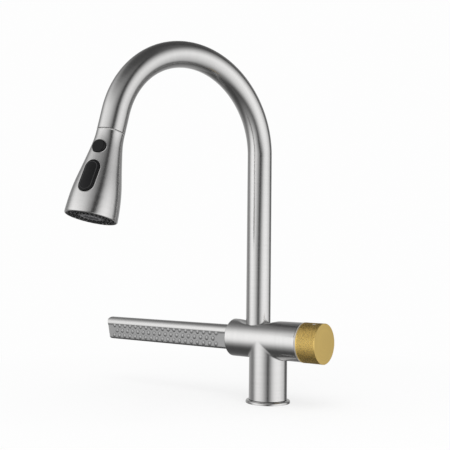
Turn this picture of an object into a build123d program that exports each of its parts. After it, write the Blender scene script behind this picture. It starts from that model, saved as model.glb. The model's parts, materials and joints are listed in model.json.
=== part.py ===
from build123d import *
import math
import os

# A pull-out kitchen faucet on one deck hole, in millimetres, +Z up.
# The origin is on the pivot axis at the deck. +X runs along the cross tube towards the gold knob,
# and -Y points at the user. A swivelling gooseneck carries the pull-out spray head, the knurled knob
# turns the mixing cartridge, and a flat outlet bar with raised bumps leaves the other end of the tube.

# Fits, how far a cut runs past what it cuts, and how far the forms of one solid reach into each other
running_gap = 0.05
free_gap = 0.3
seat_gap = 0.1
cut_over = 1.0
lap = 0.5

# Deck ring and pivot
deck_ring_radius = 25.0
deck_ring_edge = 1.2
deck_ring_height = 3.4
deck_ring_shoulder = 0.9
deck_ring_flare = 4.0
seam_height = 0.5
washer_set_in = 0.4
socket_radius = 15.2
socket_length = 12.0
socket_relief = 0.4
pivot_radius = 17.5
pivot_top = 27.5
gasket_width = 3.0
gasket_depth = 1.2
bush_height = 20.0
clip_thickness = 1.4
clip_reach = 2.2
clip_groove = 0.8
clip_mouth = 6.0

# Upright body and cross tube
body_radius = 21.5
body_wall = 1.25
tube_radius = 21.6
tube_wall = 1.3
tube_height = 70.0
tube_left = -47.0
tube_right = 47.6
tube_rim_round = 1.2

# Dish pressed into the top of the cross tube, round the spout
dish_radius = 27.0
dish_floor_radius = 15.5
dish_depth = 4.6

# Valve core inside the tube, with heights read down from the tube's axis
core_left = -30.0
core_right = 14.0
core_drop = 30.0
inlet_radius = 4.5
inlet_depth = 10.0
supply_x = 1.0
supply_spread = 9.0
mixed_x = 10.5
channel_radius = 3.0
supply_channel_drop = 4.0
mixed_channel_drop = 9.0
bar_feed_radius = 2.4
bar_feed_y = -14.5
bar_feed_drop = 2.0
hose_passage_radius = 6.5
hose_passage_x = -12.0

# Gooseneck, with heights read up from the tube's axis
riser_x = -14.0
riser_radius = 14.0
riser_wall = 1.2
riser_seat_rise = 2.6
riser_height = 211.0
arch_radius = 98.5
arch_sweep = 167.0
spout_straight = 21.5
spout_turn = 13.0

# Spout foot in the core
foot_radius = 11.2
foot_bore = 8.0
foot_drop = 15.5
foot_rise = 18.0
foot_groove_drop = 9.0
foot_groove_width = 4.6
foot_groove_depth = 1.4
foot_ring_drops = (12.5, 1.0)
o_ring_wire = 0.7
thrust_ring_height = 0.9
set_screw_radius = 2.5
set_screw_tip = 1.8
set_screw_length = 9.6
hex_key_radius = 1.4
hex_key_depth = 3.0

# Docking collar and the hose end
dock_length = 14.0
dock_bore = 9.6
dock_lead_in = 1.5
spigot_length = 10.0
hose_radius = 6.0
hose_bore = 4.0
hose_tail_top = 52.0
ferrule_top = 25.0
ferrule_bottom = 12.5
ferrule_radius = 7.6
ferrule_chamfer = 1.0
barb_length = 6.0
fitting_wall = 1.2
fitting_hex_height = 3.0
hex_pocket_gap = 2.0
fitting_hex_radius = 7.9
fitting_thread_radius = 6.8
fitting_depth = 8.0
washer_height = 1.6

# Spray head outline, from the joint with the spout (0) to the spray face
head_length = 88.5
head_turn = 32.2
head_gap = 1.5
head_neck_radius = 14.0
head_face_radius = 25.9
head_flare = [(14.35, 10.0), (16.3, 22.5), (19.7, 40.0), (23.1, 57.0), (25.1, 73.0)]
head_wall = 1.2
head_rim_round = 1.1
neck_ring_height = 1.0
neck_ring_set_in = 0.3
core_setback = 8.5

# Buttons on the head
pause_station = 20.6
pause_radius = 6.8
pause_proud = 2.0
pause_skirt = 2.4
pause_travel = 1.8
pause_stem_radius = 2.0
pause_stem_tip = 3.2
pause_edge_round = 1.2
pause_spring_wire = 1.2
pause_spring_length = 3.6
rocker_station = 52.0
rocker_length = 33.0
rocker_width = 15.4
rocker_proud = 1.0
rocker_gap = 0.6
rocker_edge_round = 0.7
rocker_skirt = 5.0
rocker_pivot_depth = 5.8
rocker_tilt = 4.0
rocker_pin_radius = 1.0
rocker_pin_length = 21.0
rocker_swing_room = 1.6
rocker_lug_width = 6.0
rocker_lug_thickness = 5.0
rocker_lug_reach = 2.3
rocker_lug_room = 1.1
finger_width = 2.4
finger_thickness = 3.0
finger_tip = 5.0
finger_reach = 0.8

# Diverter spool and check valve in the head
spool_radius = 3.9
spool_x = 3.0
spool_top = 41.0
spool_bottom = 65.0
spool_waist = 1.6
spool_slot = 3.8
spool_bore_margin = 2.5
spool_ring_offset = 3.5
valve_radius = 5.4
valve_top = 10.4
valve_length = 8.0
valve_bore = 3.6
valve_seat_thickness = 1.2
valve_guide_thickness = 2.0
valve_port_radius = 0.8
valve_port_circle = 2.6
valve_port_count = 4
poppet_stem_radius = 1.2
poppet_thickness = 1.6
poppet_seat_gap = 1.0
poppet_stem_proud = 0.6
check_spring_wire = 0.9

# Spray face
face_recess = 1.0
face_thickness = 3.0
mat_thickness = 1.6
nozzle_radius = 0.9
nozzle_proud = 0.8
nozzle_hole_gap = 0.15
nozzle_ring_radii = (21.6, 18.0, 14.4)
nozzle_pitch = 4.3
mat_set_in = 0.6
mat_bore_gap = 0.8
mat_gap = 0.02
aerator_radius = 10.2
aerator_length = 12.0
aerator_bore = 7.6
aerator_proud = 0.4
aerator_ledge_depth = 2.4
aerator_ledge_width = 1.2
aerator_ledge_thickness = 1.0
screen_thickness = 0.8
seal_width = 1.4
seal_set_in = 0.8

# Mixing cartridge and knob
cartridge_radius = 18.4
cartridge_wall = 2.0
cartridge_seal_height = 1.4
cartridge_base_height = 3.2
disc_radius = 14.6
disc_height = 4.0
disc_margin = 1.0
disc_port_circle = 8.5
disc_port_count = 3
disc_way_length = 12.0
disc_way_offset = 6.5
disc_way_depth = 2.4
carrier_height = 6.0
housing_lid = 3.0
stem_radius = 4.5
cartridge_end = 40.0
nut_height = 5.8
nut_bore = 9.0
nut_notch_count = 6
nut_notch_width = 4.0
nut_notch_depth = 3.0
trim_ring_width = 1.0
trim_ring_bore = 15.5
trim_sleeve_wall = 1.5
trim_ring_radius = 21.9
knob_radius = 22.0
knob_start = 48.9
knob_end = 72.5
knob_wall = 3.5
knob_cap = 5.5
knob_edge = 0.7
knob_boss_radius = 8.6
adapter_radius = 6.5
adapter_start = 52.0
stem_end = 62.0
grub_radius = 2.0
grub_length = 5.0
grub_x = 57.0
grub_key_radius = 1.1
grub_key_depth = 2.0
index_x = 63.0
index_angle = 16.0
index_radius = 1.5
index_depth = 0.9
index_set_in = 0.2

# Outlet bar
bar_height = 28.4
bar_thickness = 16.0
bar_tip = -255.2
bar_rake = 6.7
bar_corner = 3.0
bar_foot_round = 3.0
bar_wall = 1.6
bar_lip = 0.6
bar_slit = 0.8
bar_slit_lead = 4.0
bar_slit_end = 12.0
bump_width = 5.8
bump_height = 1.3
bump_pitch = 9.5
bump_row_pitch = 6.4
bump_start = -69.3
bump_tip_margin = 14.0
bump_middle_row = -2.8
hub_flange_radius = 19.6
hub_flange_height = 1.1
hub_radius = 13.0
hub_bore = 5.5
hub_end = -33.0
hub_ring_offsets = (4.0, 8.0)
bar_collar_inner = -36.0

# Places that follow from the sizes above
body_bottom = deck_ring_height + seam_height
core_bottom = tube_height - core_drop
supply_channel_z = tube_height - supply_channel_drop
mixed_channel_z = tube_height - mixed_channel_drop
bar_feed_z = tube_height - bar_feed_drop
riser_foot = tube_height + riser_seat_rise
arch_start = tube_height + riser_height
foot_bottom = tube_height - foot_drop
foot_top = tube_height + foot_rise
foot_groove_low = tube_height - foot_groove_drop
foot_groove_high = foot_groove_low + foot_groove_width
foot_ring_heights = [tube_height - drop for drop in foot_ring_drops]
body_bore = body_radius - body_wall
tube_bore = tube_radius - tube_wall
core_radius = tube_bore - seat_gap
dish_slope = (dish_radius - dish_floor_radius) / dish_depth
riser_bore = riser_radius - riser_wall
arch_drop = math.radians(arch_sweep)
spout_end_out = arch_radius * (1 - math.cos(arch_drop)) + spout_straight * math.sin(arch_drop)
spout_end_up = arch_start + arch_radius * math.sin(arch_drop) + spout_straight * math.cos(arch_drop)
spout_place = Pos(riser_x, 0, 0) * Rot(0, 0, -90 - spout_turn)
dock_place = spout_place * Pos(spout_end_out, 0, spout_end_up) * Rot(0, arch_sweep, 0)
head_place = dock_place * Rot(0, 0, 180 - head_turn)
tube_place = Pos(0, 0, tube_height) * Rot(0, 90, 0)
head_stations = [(head_neck_radius, head_gap), *head_flare, (head_face_radius, head_length)]
core_end = head_length - core_setback
face_back = head_length - face_recess - face_thickness


# A box that hangs into the head from its outer face
hanging = (Align.MAX, Align.CENTER, Align.CENTER)


def rod(radius, low, high):
    """A round bar along Z from low to high."""
    return Pos(0, 0, low) * Cylinder(radius, high - low, align=(Align.CENTER, Align.CENTER, Align.MIN))


def ring(outer, inner, low, high):
    """A round ring along Z from low to high."""
    return rod(outer, low, high) - rod(inner, low - cut_over, high + cut_over)


def o_ring(radius, height):
    """A rubber ring whose outside has the given radius."""
    return Pos(0, 0, height) * Torus(radius - o_ring_wire, o_ring_wire)


def o_ring_groove(radius, height):
    """The groove that an o_ring lies in."""
    half = o_ring_wire + seat_gap
    return ring(radius + cut_over, radius - 2 * o_ring_wire - seat_gap, height - half, height + half)


def head_radius(station):
    """The outer radius of the head at a distance from the joint, read along its outline."""
    for (r_low, s_low), (r_high, s_high) in zip(head_stations, head_stations[1:]):
        if station <= s_high:
            return r_low + (r_high - r_low) * (station - s_low) / (s_high - s_low)
    return head_stations[-1][0]


def head_body(inset, low, high):
    """The head's turned form, its outline moved in by inset, between two stations."""
    side = Spline([(radius - inset, station) for radius, station in head_stations])
    top = head_stations[0][1]
    outline = side + Polyline(side @ 1, (0, head_length), (0, top), side @ 0)
    whole = revolve(Plane.XZ * make_face(outline), axis=Axis.Z)
    return whole & rod(2 * head_face_radius, low, high)


def outward(shape):
    """A shape built along Z, turned to stand out of the head on its button side."""
    return Rot(0, 90, 0) * shape


def slot_prism(length, width, low, high):
    """A bar of slot section standing out of the head, its long side along the head."""
    return Rot(0, 90, 0) * Pos(0, 0, low) * extrude(SlotOverall(length, width), high - low)


# Deck ring, pivot and what turns on it

def make_deck_ring():
    outline = Polyline(
        (pivot_radius + seat_gap, deck_ring_height),
        (pivot_radius + seat_gap, 0),
        (deck_ring_radius, 0),
        (deck_ring_radius, deck_ring_edge),
    )
    shoulder = body_radius + deck_ring_shoulder
    flare = RadiusArc((deck_ring_radius, deck_ring_edge), (shoulder, deck_ring_height), deck_ring_flare)
    top = Line((shoulder, deck_ring_height), (pivot_radius + seat_gap, deck_ring_height))
    turned = revolve(Plane.XZ * make_face(outline + flare + top), axis=Axis.Z)
    middle = (deck_ring_radius + pivot_radius) / 2
    return turned - ring(middle + gasket_width / 2, middle - gasket_width / 2, -cut_over, gasket_depth)


def make_deck_gasket():
    middle = (deck_ring_radius + pivot_radius) / 2
    half = gasket_width / 2 - seat_gap
    return ring(middle + half, middle - half, 0, gasket_depth - seat_gap)


def make_pivot():
    spindle = ring(pivot_radius, socket_radius, 0, pivot_top)
    spindle -= rod(socket_radius + socket_relief, socket_length, pivot_top + cut_over)
    groove_low = clip_low() - seat_gap
    groove_high = clip_low() + clip_thickness + seat_gap
    return spindle - ring(pivot_radius + cut_over, pivot_radius - clip_groove, groove_low, groove_high)


def make_thrust_washer():
    outer = body_radius - washer_set_in
    return ring(outer, pivot_radius + seat_gap, deck_ring_height, body_bottom - running_gap)


def make_swivel_bush():
    return ring(body_bore - seat_gap, pivot_radius + running_gap, body_bottom, body_bottom + bush_height)


def clip_low():
    return body_bottom + bush_height + running_gap


def make_pivot_clip():
    low = clip_low()
    inner = pivot_radius - clip_groove + seat_gap
    whole = ring(pivot_radius + clip_reach, inner, low, low + clip_thickness)
    return whole - clip_mouth_box(-pivot_radius, low)


def clip_mouth_box(at_x, low):
    """The gap in a retaining clip, where it is pushed over its groove."""
    return Pos(at_x, 0, low) * Box(2 * clip_mouth, clip_mouth, 4 * clip_thickness)


# Body shell and valve core

def dish(sink):
    """The room over the dish, its surface moved down by sink."""
    height = dish_depth + sink + cut_over
    floor = tube_height + tube_radius - dish_depth - sink
    at_floor = (Align.CENTER, Align.CENTER, Align.MIN)
    cone = Cone(dish_floor_radius, dish_floor_radius + dish_slope * height, height, align=at_floor)
    return Pos(riser_x, 0, floor) * cone


def make_body_shell():
    across = rod(tube_radius, tube_left, tube_right)
    across = fillet(across.faces().sort_by(Axis.Z)[0].edges(), tube_rim_round)
    shell = tube_place * across + rod(body_radius, body_bottom, tube_height)
    shell -= tube_place * rod(tube_bore, tube_left - cut_over, tube_right + cut_over) - dish(tube_wall)
    shell -= rod(body_bore, body_bottom - cut_over, tube_height)
    shell -= dish(0)
    shell -= Pos(riser_x, 0, 0) * rod(riser_radius + free_gap, tube_height, tube_height + 2 * tube_radius)
    return shell - set_screw_hole()


def set_screw_height():
    return (foot_groove_low + foot_groove_high) / 2


def set_screw_tip_y():
    return foot_radius - foot_groove_depth / 2


def set_screw_hole():
    hole = rod(set_screw_radius + running_gap, 0, 2 * tube_radius)
    return Pos(riser_x, 0, set_screw_height()) * Rot(-90, 0, 0) * hole


def make_valve_core():
    core = tube_place * rod(core_radius, core_left, core_right) - dish(tube_wall + seat_gap)
    core += rod(body_bore - seat_gap, core_bottom, tube_height - cartridge_radius - free_gap)
    at_riser = Pos(riser_x, 0, 0)
    shelf = riser_foot - thrust_ring_height - seat_gap
    core -= at_riser * rod(riser_radius + running_gap, shelf, tube_height + tube_radius)
    core -= at_riser * rod(foot_radius + running_gap, foot_bottom - free_gap, shelf + cut_over)
    core -= Pos(hose_passage_x, 0, 0) * rod(hose_passage_radius, core_bottom - cut_over, foot_bottom)
    for side in (-1, 1):
        supply = Pos(supply_x, side * supply_spread, 0)
        core -= supply * rod(inlet_radius, core_bottom - cut_over, core_bottom + inlet_depth)
        core -= supply * rod(channel_radius, core_bottom, supply_channel_z)
        level = Pos(0, side * supply_spread, supply_channel_z) * Rot(0, 90, 0)
        core -= level * rod(channel_radius, supply_x, core_right + cut_over)
    mixed = Pos(mixed_x, 0, 0)
    core -= mixed * rod(inlet_radius, core_bottom - cut_over, core_bottom + inlet_depth)
    core -= mixed * rod(channel_radius, core_bottom, mixed_channel_z)
    core -= Pos(0, 0, mixed_channel_z) * Rot(0, 90, 0) * rod(channel_radius, mixed_x, core_right + cut_over)
    feed = Pos(0, bar_feed_y, bar_feed_z) * Rot(0, 90, 0)
    core -= feed * rod(bar_feed_radius, core_left - cut_over, core_right + cut_over)
    return core - set_screw_hole()


def make_set_screw():
    tip_y = set_screw_tip_y()
    thread = rod(set_screw_radius, foot_radius + running_gap, tip_y + set_screw_length)
    screw = thread + rod(set_screw_tip, tip_y, foot_radius + lap)
    key = Pos(0, 0, tip_y + set_screw_length) * extrude(RegularPolygon(hex_key_radius, 6), -hex_key_depth)
    return Pos(riser_x, 0, set_screw_height()) * Rot(-90, 0, 0) * (screw - key)


def make_spout_thrust_ring():
    high = riser_foot - seat_gap
    whole = ring(riser_radius - seat_gap, foot_radius + free_gap, high - thrust_ring_height, high)
    return Pos(riser_x, 0, 0) * whole


# Gooseneck and its foot

def arch_point(angle):
    """A point of the arch in the plane of the spout."""
    turn = math.radians(angle)
    return (arch_radius * (1 - math.cos(turn)), 0, arch_start + arch_radius * math.sin(turn))


def make_gooseneck():
    upright = Line((0, 0, riser_foot), arch_point(0))
    arch = ThreePointArc(arch_point(0), arch_point(arch_sweep / 2), arch_point(arch_sweep))
    nose = Line(arch_point(arch_sweep), (spout_end_out, 0, spout_end_up))
    route = upright + arch + nose
    section = Pos(0, 0, riser_foot) * (Circle(riser_radius) - Circle(riser_bore))
    return spout_place * sweep(section, path=route)


def make_spout_foot():
    foot = rod(riser_bore - seat_gap, riser_foot, foot_top)
    foot += rod(foot_radius, foot_bottom, riser_foot)
    foot -= rod(foot_bore, foot_bottom - cut_over, foot_top + cut_over)
    foot -= ring(foot_radius + cut_over, foot_radius - foot_groove_depth, foot_groove_low, foot_groove_high)
    for height in foot_ring_heights:
        foot -= o_ring_groove(foot_radius, height)
    return Pos(riser_x, 0, 0) * foot


def make_spout_o_rings():
    return [Pos(riser_x, 0, 0) * o_ring(foot_radius, height) for height in foot_ring_heights]


def make_dock_collar():
    collar = ring(riser_bore - seat_gap, dock_bore, -dock_length, 0)
    below = (Align.CENTER, Align.CENTER, Align.MAX)
    mouth = Cone(dock_bore, dock_bore + dock_lead_in, dock_lead_in, align=below)
    return dock_place * (collar - mouth)


# Hose end

def make_hose_tail():
    return head_place * ring(hose_radius, hose_bore, -hose_tail_top, hose_end())


def hose_end():
    """Where the hose stops, just inside the bottom of its ferrule."""
    return -ferrule_bottom - ferrule_chamfer


def make_hose_ferrule():
    sleeve = rod(ferrule_radius, -ferrule_top, -ferrule_bottom)
    sleeve = chamfer(sleeve.faces().sort_by(Axis.Z)[0].edges(), ferrule_chamfer)
    sleeve -= rod(hose_radius, -ferrule_top - cut_over, hose_end())
    return head_place * (sleeve - rod(hose_bore, -ferrule_top, -ferrule_bottom + cut_over))


def make_hose_fitting():
    hexagon = Pos(0, 0, -ferrule_bottom + running_gap) * RegularPolygon(fitting_hex_radius, 6)
    fitting = extrude(hexagon, fitting_hex_height)
    fitting += rod(fitting_thread_radius, -ferrule_bottom + lap, fitting_depth)
    fitting += rod(hose_bore - running_gap, -ferrule_bottom - barb_length, 0)
    return head_place * (fitting - rod(hose_bore - fitting_wall, -ferrule_top, fitting_depth + cut_over))


def make_hose_washer():
    low = fitting_depth + seat_gap
    return head_place * ring(fitting_thread_radius, valve_bore, low, low + washer_height)


# Spray head casing and core

def pause_opening(gap, low):
    hole = rod(pause_radius + gap, low, 2 * head_face_radius)
    return Pos(0, 0, pause_station) * outward(hole)


def rocker_opening(gap, low):
    whole = slot_prism(rocker_length + 2 * gap, rocker_width + 2 * gap, low, 2 * head_face_radius)
    return Pos(0, 0, rocker_station) * whole


def rocker_pivot_x():
    return head_radius(rocker_station) - rocker_pivot_depth


def rocker_floor():
    return head_radius(rocker_station) - rocker_skirt


def make_head_shell():
    top = head_stations[0][1]
    solid = head_body(0, top, head_length)
    solid = fillet(solid.faces().sort_by(Axis.Z)[-1].edges(), head_rim_round)
    shell = solid - head_body(head_wall, top + head_wall, head_length - seat_gap)
    shell -= rod(head_face_radius - head_wall, head_length - 2 * cut_over, head_length + cut_over)
    shell -= rod(dock_bore - free_gap + seat_gap, 0, top + head_wall + cut_over)
    shell -= pause_opening(free_gap, 0)
    return head_place * (shell - rocker_opening(rocker_gap, 0))


def make_neck_ring():
    top = head_stations[0][1]
    return head_place * ring(head_neck_radius - neck_ring_set_in, dock_bore, top - neck_ring_height, top)


def make_head_core():
    low = head_stations[0][1] + head_wall
    inset = head_wall + seat_gap
    core = head_body(inset, low + seat_gap, core_end)
    core += rod(dock_bore - free_gap, -spigot_length, low + lap)
    core -= rod(fitting_thread_radius + seat_gap, -spigot_length - cut_over, valve_top)
    hex_pocket_end = -ferrule_bottom + fitting_hex_height + hex_pocket_gap
    core -= rod(fitting_hex_radius + free_gap, -spigot_length - cut_over, hex_pocket_end)
    core -= rod(valve_radius + seat_gap, valve_top - cut_over, valve_top + valve_length + seat_gap)
    core -= rod(channel_radius, valve_top, spool_top)
    core -= Pos(spool_x, 0, 0) * rod(spool_radius + running_gap, spool_top - spool_bore_margin,
                                     spool_bottom + spool_bore_margin)
    core -= rod(channel_radius, spool_bottom, core_end + cut_over)
    core -= rod(aerator_radius + seat_gap, head_length - aerator_length, core_end + cut_over)
    core -= pause_opening(free_gap, pause_pocket_floor())
    well_radius = pause_stem_radius + pause_spring_wire + 2 * free_gap
    spring_well = rod(well_radius, pause_spring_low(), pause_pocket_floor() + cut_over)
    core -= Pos(0, 0, pause_station) * outward(spring_well)
    stem_way = rod(pause_stem_radius + running_gap, 0, pause_pocket_floor())
    core -= Pos(0, 0, pause_station) * outward(stem_way)
    core -= rocker_opening(rocker_gap, rocker_floor() - rocker_swing_room)
    core -= lug_pocket()
    core -= rocker_pin_hole(running_gap)
    return head_place * core


def lug_pocket():
    """The room in the core for the rocker's lug and for its finger down to the spool."""
    lug_depth = rocker_floor() - rocker_pivot_x() + rocker_lug_reach + rocker_lug_room
    lug_thickness = rocker_lug_thickness + 2 * free_gap
    lug = Box(lug_depth, lug_thickness, rocker_lug_width + 2 * rocker_gap, align=hanging)
    slot_width = finger_width + 2 * spool_travel() + 2 * rocker_gap
    slot = Box(rocker_floor() - spool_x, finger_thickness + 2 * free_gap, slot_width, align=hanging)
    return Pos(rocker_floor(), 0, rocker_station) * (lug + slot)


def spool_travel():
    return (rocker_pivot_x() - spool_engage()) * math.radians(rocker_tilt)


def spool_engage():
    """How far from the head's axis the finger drives the spool."""
    return finger_tip + finger_reach


def rocker_pin_hole(gap):
    half = rocker_pin_length / 2 + gap
    hole = rod(rocker_pin_radius + gap, -half, half)
    return Pos(rocker_pivot_x(), 0, rocker_station) * Rot(90, 0, 0) * hole


def pause_pocket_floor():
    return head_radius(pause_station) - pause_skirt - pause_travel - free_gap


def pause_spring_low():
    return pause_pocket_floor() - pause_spring_length


# Buttons

def make_pause_button():
    top = head_radius(pause_station) + pause_proud
    low = head_radius(pause_station) - pause_skirt
    cap = rod(pause_radius, low, top)
    cap = fillet(cap.faces().sort_by(Axis.Z)[-1].edges(), pause_edge_round)
    cap += rod(pause_stem_radius, pause_stem_tip, low + lap)
    return head_place * Pos(0, 0, pause_station) * outward(cap)


def make_pause_spring():
    low = pause_spring_low() + seat_gap
    high = head_radius(pause_station) - pause_skirt
    inner = pause_stem_radius + free_gap
    sleeve = ring(inner + pause_spring_wire, inner, low, high)
    return head_place * Pos(0, 0, pause_station) * outward(sleeve)


def make_rocker_button():
    cap = slot_prism(rocker_length, rocker_width, rocker_floor(), head_face_radius + rocker_skirt)
    cap = Pos(0, 0, rocker_station) * cap
    cap &= head_body(-rocker_proud, 0, head_length)
    cap = fillet(cap.faces().sort_by(Axis.X)[-1].edges(), rocker_edge_round)
    lug_length = rocker_floor() - rocker_pivot_x() + rocker_lug_reach + lap
    lug = Box(lug_length, rocker_lug_thickness, rocker_lug_width, align=hanging)
    finger = Box(rocker_floor() - finger_tip, finger_thickness, finger_width, align=hanging)
    cap += Pos(rocker_floor() + lap, 0, rocker_station) * lug
    cap += Pos(rocker_floor(), 0, rocker_station) * finger
    return head_place * (cap - rocker_pin_hole(running_gap))


def make_rocker_pin():
    half = rocker_pin_length / 2
    pin = rod(rocker_pin_radius, -half, half)
    return head_place * Pos(rocker_pivot_x(), 0, rocker_station) * Rot(90, 0, 0) * pin


# Diverter spool and check valve

def make_diverter_spool():
    spool = rod(spool_radius, spool_top, spool_bottom)
    half = spool_slot / 2
    spool -= ring(spool_radius + cut_over, spool_waist, rocker_station - half, rocker_station + half)
    for height in spool_ring_heights():
        spool -= o_ring_groove(spool_radius, height)
    return head_place * Pos(spool_x, 0, 0) * spool


def spool_ring_heights():
    return (spool_top + spool_ring_offset, spool_bottom - spool_ring_offset)


def make_spool_o_rings():
    at_spool = head_place * Pos(spool_x, 0, 0)
    return [at_spool * o_ring(spool_radius, height) for height in spool_ring_heights()]


def make_check_valve():
    end = valve_top + valve_length
    cage = ring(valve_radius, valve_bore, valve_top, end)
    seat_bore = poppet_stem_radius + poppet_seat_gap
    seat = ring(valve_radius, seat_bore, valve_top, valve_top + valve_seat_thickness)
    guide = ring(valve_radius, poppet_stem_radius + running_gap, end - valve_guide_thickness, end)
    for step in range(valve_port_count):
        turned = Rot(0, 0, 360 * step / valve_port_count)
        guide -= turned * Pos(valve_port_circle, 0, 0) * rod(valve_port_radius, valve_top, end + cut_over)
    return head_place * (cage + seat + guide)


def poppet_low():
    return valve_top + valve_seat_thickness + running_gap


def make_check_poppet():
    head = rod(valve_bore - 2 * free_gap, poppet_low(), poppet_low() + poppet_thickness)
    stem = rod(poppet_stem_radius, poppet_low(), valve_top + valve_length + poppet_stem_proud)
    return head_place * (head + stem)


def make_check_spring():
    low = poppet_low() + poppet_thickness
    high = valve_top + valve_length - valve_guide_thickness
    inner = poppet_stem_radius + free_gap
    return head_place * ring(inner + check_spring_wire, inner, low, high)


# Spray face

def nozzle_places():
    """Centres of the spray nozzles, in rings round the aerator."""
    places = []
    for radius in nozzle_ring_radii:
        count = 2 * round(math.pi * radius / nozzle_pitch)
        for step in range(count):
            turn = 2 * math.pi * step / count
            places.append((radius * math.cos(turn), radius * math.sin(turn)))
    return places


def face_radius():
    return head_face_radius - head_wall - seat_gap


def make_face_plate():
    low = face_back
    plate = ring(face_radius(), aerator_radius + seat_gap, low, low + face_thickness)
    hole = rod(nozzle_radius + nozzle_hole_gap, low - cut_over, low + face_thickness + cut_over)
    return head_place * (plate - [Pos(x, y, 0) * hole for x, y in nozzle_places()])


def make_nozzle_mat():
    low = face_back - mat_thickness
    mat = ring(face_radius() - mat_set_in, aerator_radius + mat_bore_gap, low, face_back - mat_gap)
    nub = rod(nozzle_radius, face_back - lap, head_length - face_recess + nozzle_proud)
    return head_place * (mat + [Pos(x, y, 0) * nub for x, y in nozzle_places()])


def aerator_end():
    return head_length - face_recess + aerator_proud


def make_aerator():
    sleeve = ring(aerator_radius, aerator_bore, head_length - aerator_length + seat_gap, aerator_end())
    ledge_top = aerator_end() - aerator_ledge_depth
    ledge_low = ledge_top - aerator_ledge_thickness
    ledge = ring(aerator_bore + lap, aerator_bore - aerator_ledge_width, ledge_low, ledge_top)
    return head_place * (sleeve + ledge)


def make_aerator_screen():
    low = aerator_end() - aerator_ledge_depth
    return head_place * rod(aerator_bore - seat_gap, low, low + screen_thickness)


def make_core_seal():
    low = core_end + seat_gap
    outer = face_radius() - seal_set_in
    return head_place * ring(outer, outer - seal_width, low, face_back - mat_thickness - seat_gap)


# Mixing cartridge, stem and knob, all on the tube's axis

def disc_low():
    return core_right + cartridge_seal_height + cartridge_base_height + seat_gap


def disc_split():
    return disc_low() + disc_height


def port_holes(low, high):
    """Cold, hot and mixed ports and the bar feed, where the core's channels end."""
    places = [
        (supply_channel_z, -supply_spread, channel_radius),
        (supply_channel_z, supply_spread, channel_radius),
        (mixed_channel_z, 0, channel_radius),
        (bar_feed_z, bar_feed_y, bar_feed_radius),
    ]
    low -= cut_over
    high += cut_over
    return [Pos(tube_height - z, y, 0) * rod(radius, low, high) for z, y, radius in places]


def make_cartridge_seal():
    high = core_right + cartridge_seal_height
    disc = rod(cartridge_radius, core_right, high)
    return tube_place * (disc - port_holes(core_right, high))


def make_cartridge_base():
    low = core_right + cartridge_seal_height
    high = low + cartridge_base_height
    return tube_place * (rod(cartridge_radius, low, high) - port_holes(low, high))


def make_cartridge_housing():
    low = core_right + cartridge_seal_height + cartridge_base_height
    housing = rod(cartridge_radius, low, cartridge_end)
    housing -= rod(cartridge_radius - cartridge_wall, low - cut_over, cartridge_end - housing_lid)
    return tube_place * (housing - rod(stem_radius + running_gap, low, cartridge_end + cut_over))


def make_fixed_disc():
    disc = rod(disc_radius, disc_low(), disc_split())
    hole = rod(channel_radius, disc_low() - cut_over, disc_split() + cut_over)
    port = Pos(0, disc_port_circle, 0) * hole
    for step in range(disc_port_count):
        disc -= Rot(0, 0, 180 + 360 * step / disc_port_count) * port
    return tube_place * disc


def make_moving_disc():
    low = disc_split() + running_gap
    disc = rod(disc_radius - disc_margin, low, low + disc_height)
    way = extrude(SlotOverall(disc_way_length, 2 * channel_radius, rotation=90), disc_way_depth + cut_over)
    return tube_place * (disc - Pos(disc_way_offset, 0, low - cut_over) * way)


def make_valve_stem():
    low = disc_split() + running_gap + disc_height
    carrier = rod(disc_radius, low, low + carrier_height)
    stem = carrier + rod(stem_radius, low, stem_end)
    return tube_place * (stem - o_ring_groove(stem_radius, cartridge_end - housing_lid / 2))


def make_stem_o_ring():
    return tube_place * o_ring(stem_radius, cartridge_end - housing_lid / 2)


def make_cartridge_nut():
    low = cartridge_end + seat_gap
    nut = ring(tube_bore - seat_gap, nut_bore, low, low + nut_height)
    notch = Box(nut_notch_depth, nut_notch_width, 2 * nut_notch_depth)
    for step in range(nut_notch_count):
        turned = Rot(0, 0, 360 * step / nut_notch_count)
        nut -= turned * Pos(tube_bore - 2 * nut_notch_depth, 0, low + nut_height) * notch
    return tube_place * nut


def make_trim_ring():
    shelf = ring(trim_ring_radius, trim_ring_bore, tube_right, tube_right + trim_ring_width)
    outer = tube_bore - seat_gap
    low = cartridge_end + nut_height + 2 * seat_gap
    sleeve = ring(outer, outer - trim_sleeve_wall, low, tube_right + lap)
    return tube_place * (shelf + sleeve)


def make_knob():
    inside_end = knob_end - knob_cap
    knob = rod(knob_radius, knob_start, knob_end)
    knob = chamfer(knob.faces().sort_by(Axis.Z)[-1].edges(), knob_edge)
    knob -= rod(knob_radius - knob_wall, knob_start - cut_over, inside_end)
    knob += rod(knob_boss_radius, adapter_start, inside_end + lap)
    knob -= rod(adapter_radius + seat_gap, adapter_start - cut_over, stem_end + cut_over)
    knob = tube_place * knob
    knob -= grub_place() * rod(grub_radius + seat_gap, stem_radius, knob_radius + cut_over)
    return knob - index_place() * rod(index_radius + seat_gap, -index_depth, cut_over)


def grub_place():
    """The grub screw's axis, pointing down from the stem through the knob's side."""
    return Pos(grub_x, 0, tube_height) * Rot(180, 0, 0)


def index_place():
    """The top of the index mark: on the knob's side, a little forward of the top."""
    at_axis = Pos(index_x, 0, tube_height) * Rot(index_angle, 0, 0)
    return at_axis * Pos(0, 0, knob_radius)


def make_index_dot():
    return index_place() * rod(index_radius, -index_depth, -index_set_in)


def make_knob_adapter():
    sleeve = tube_place * ring(adapter_radius, stem_radius + seat_gap, adapter_start, stem_end)
    return sleeve - grub_place() * rod(grub_radius + seat_gap, 0, knob_radius)


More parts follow.
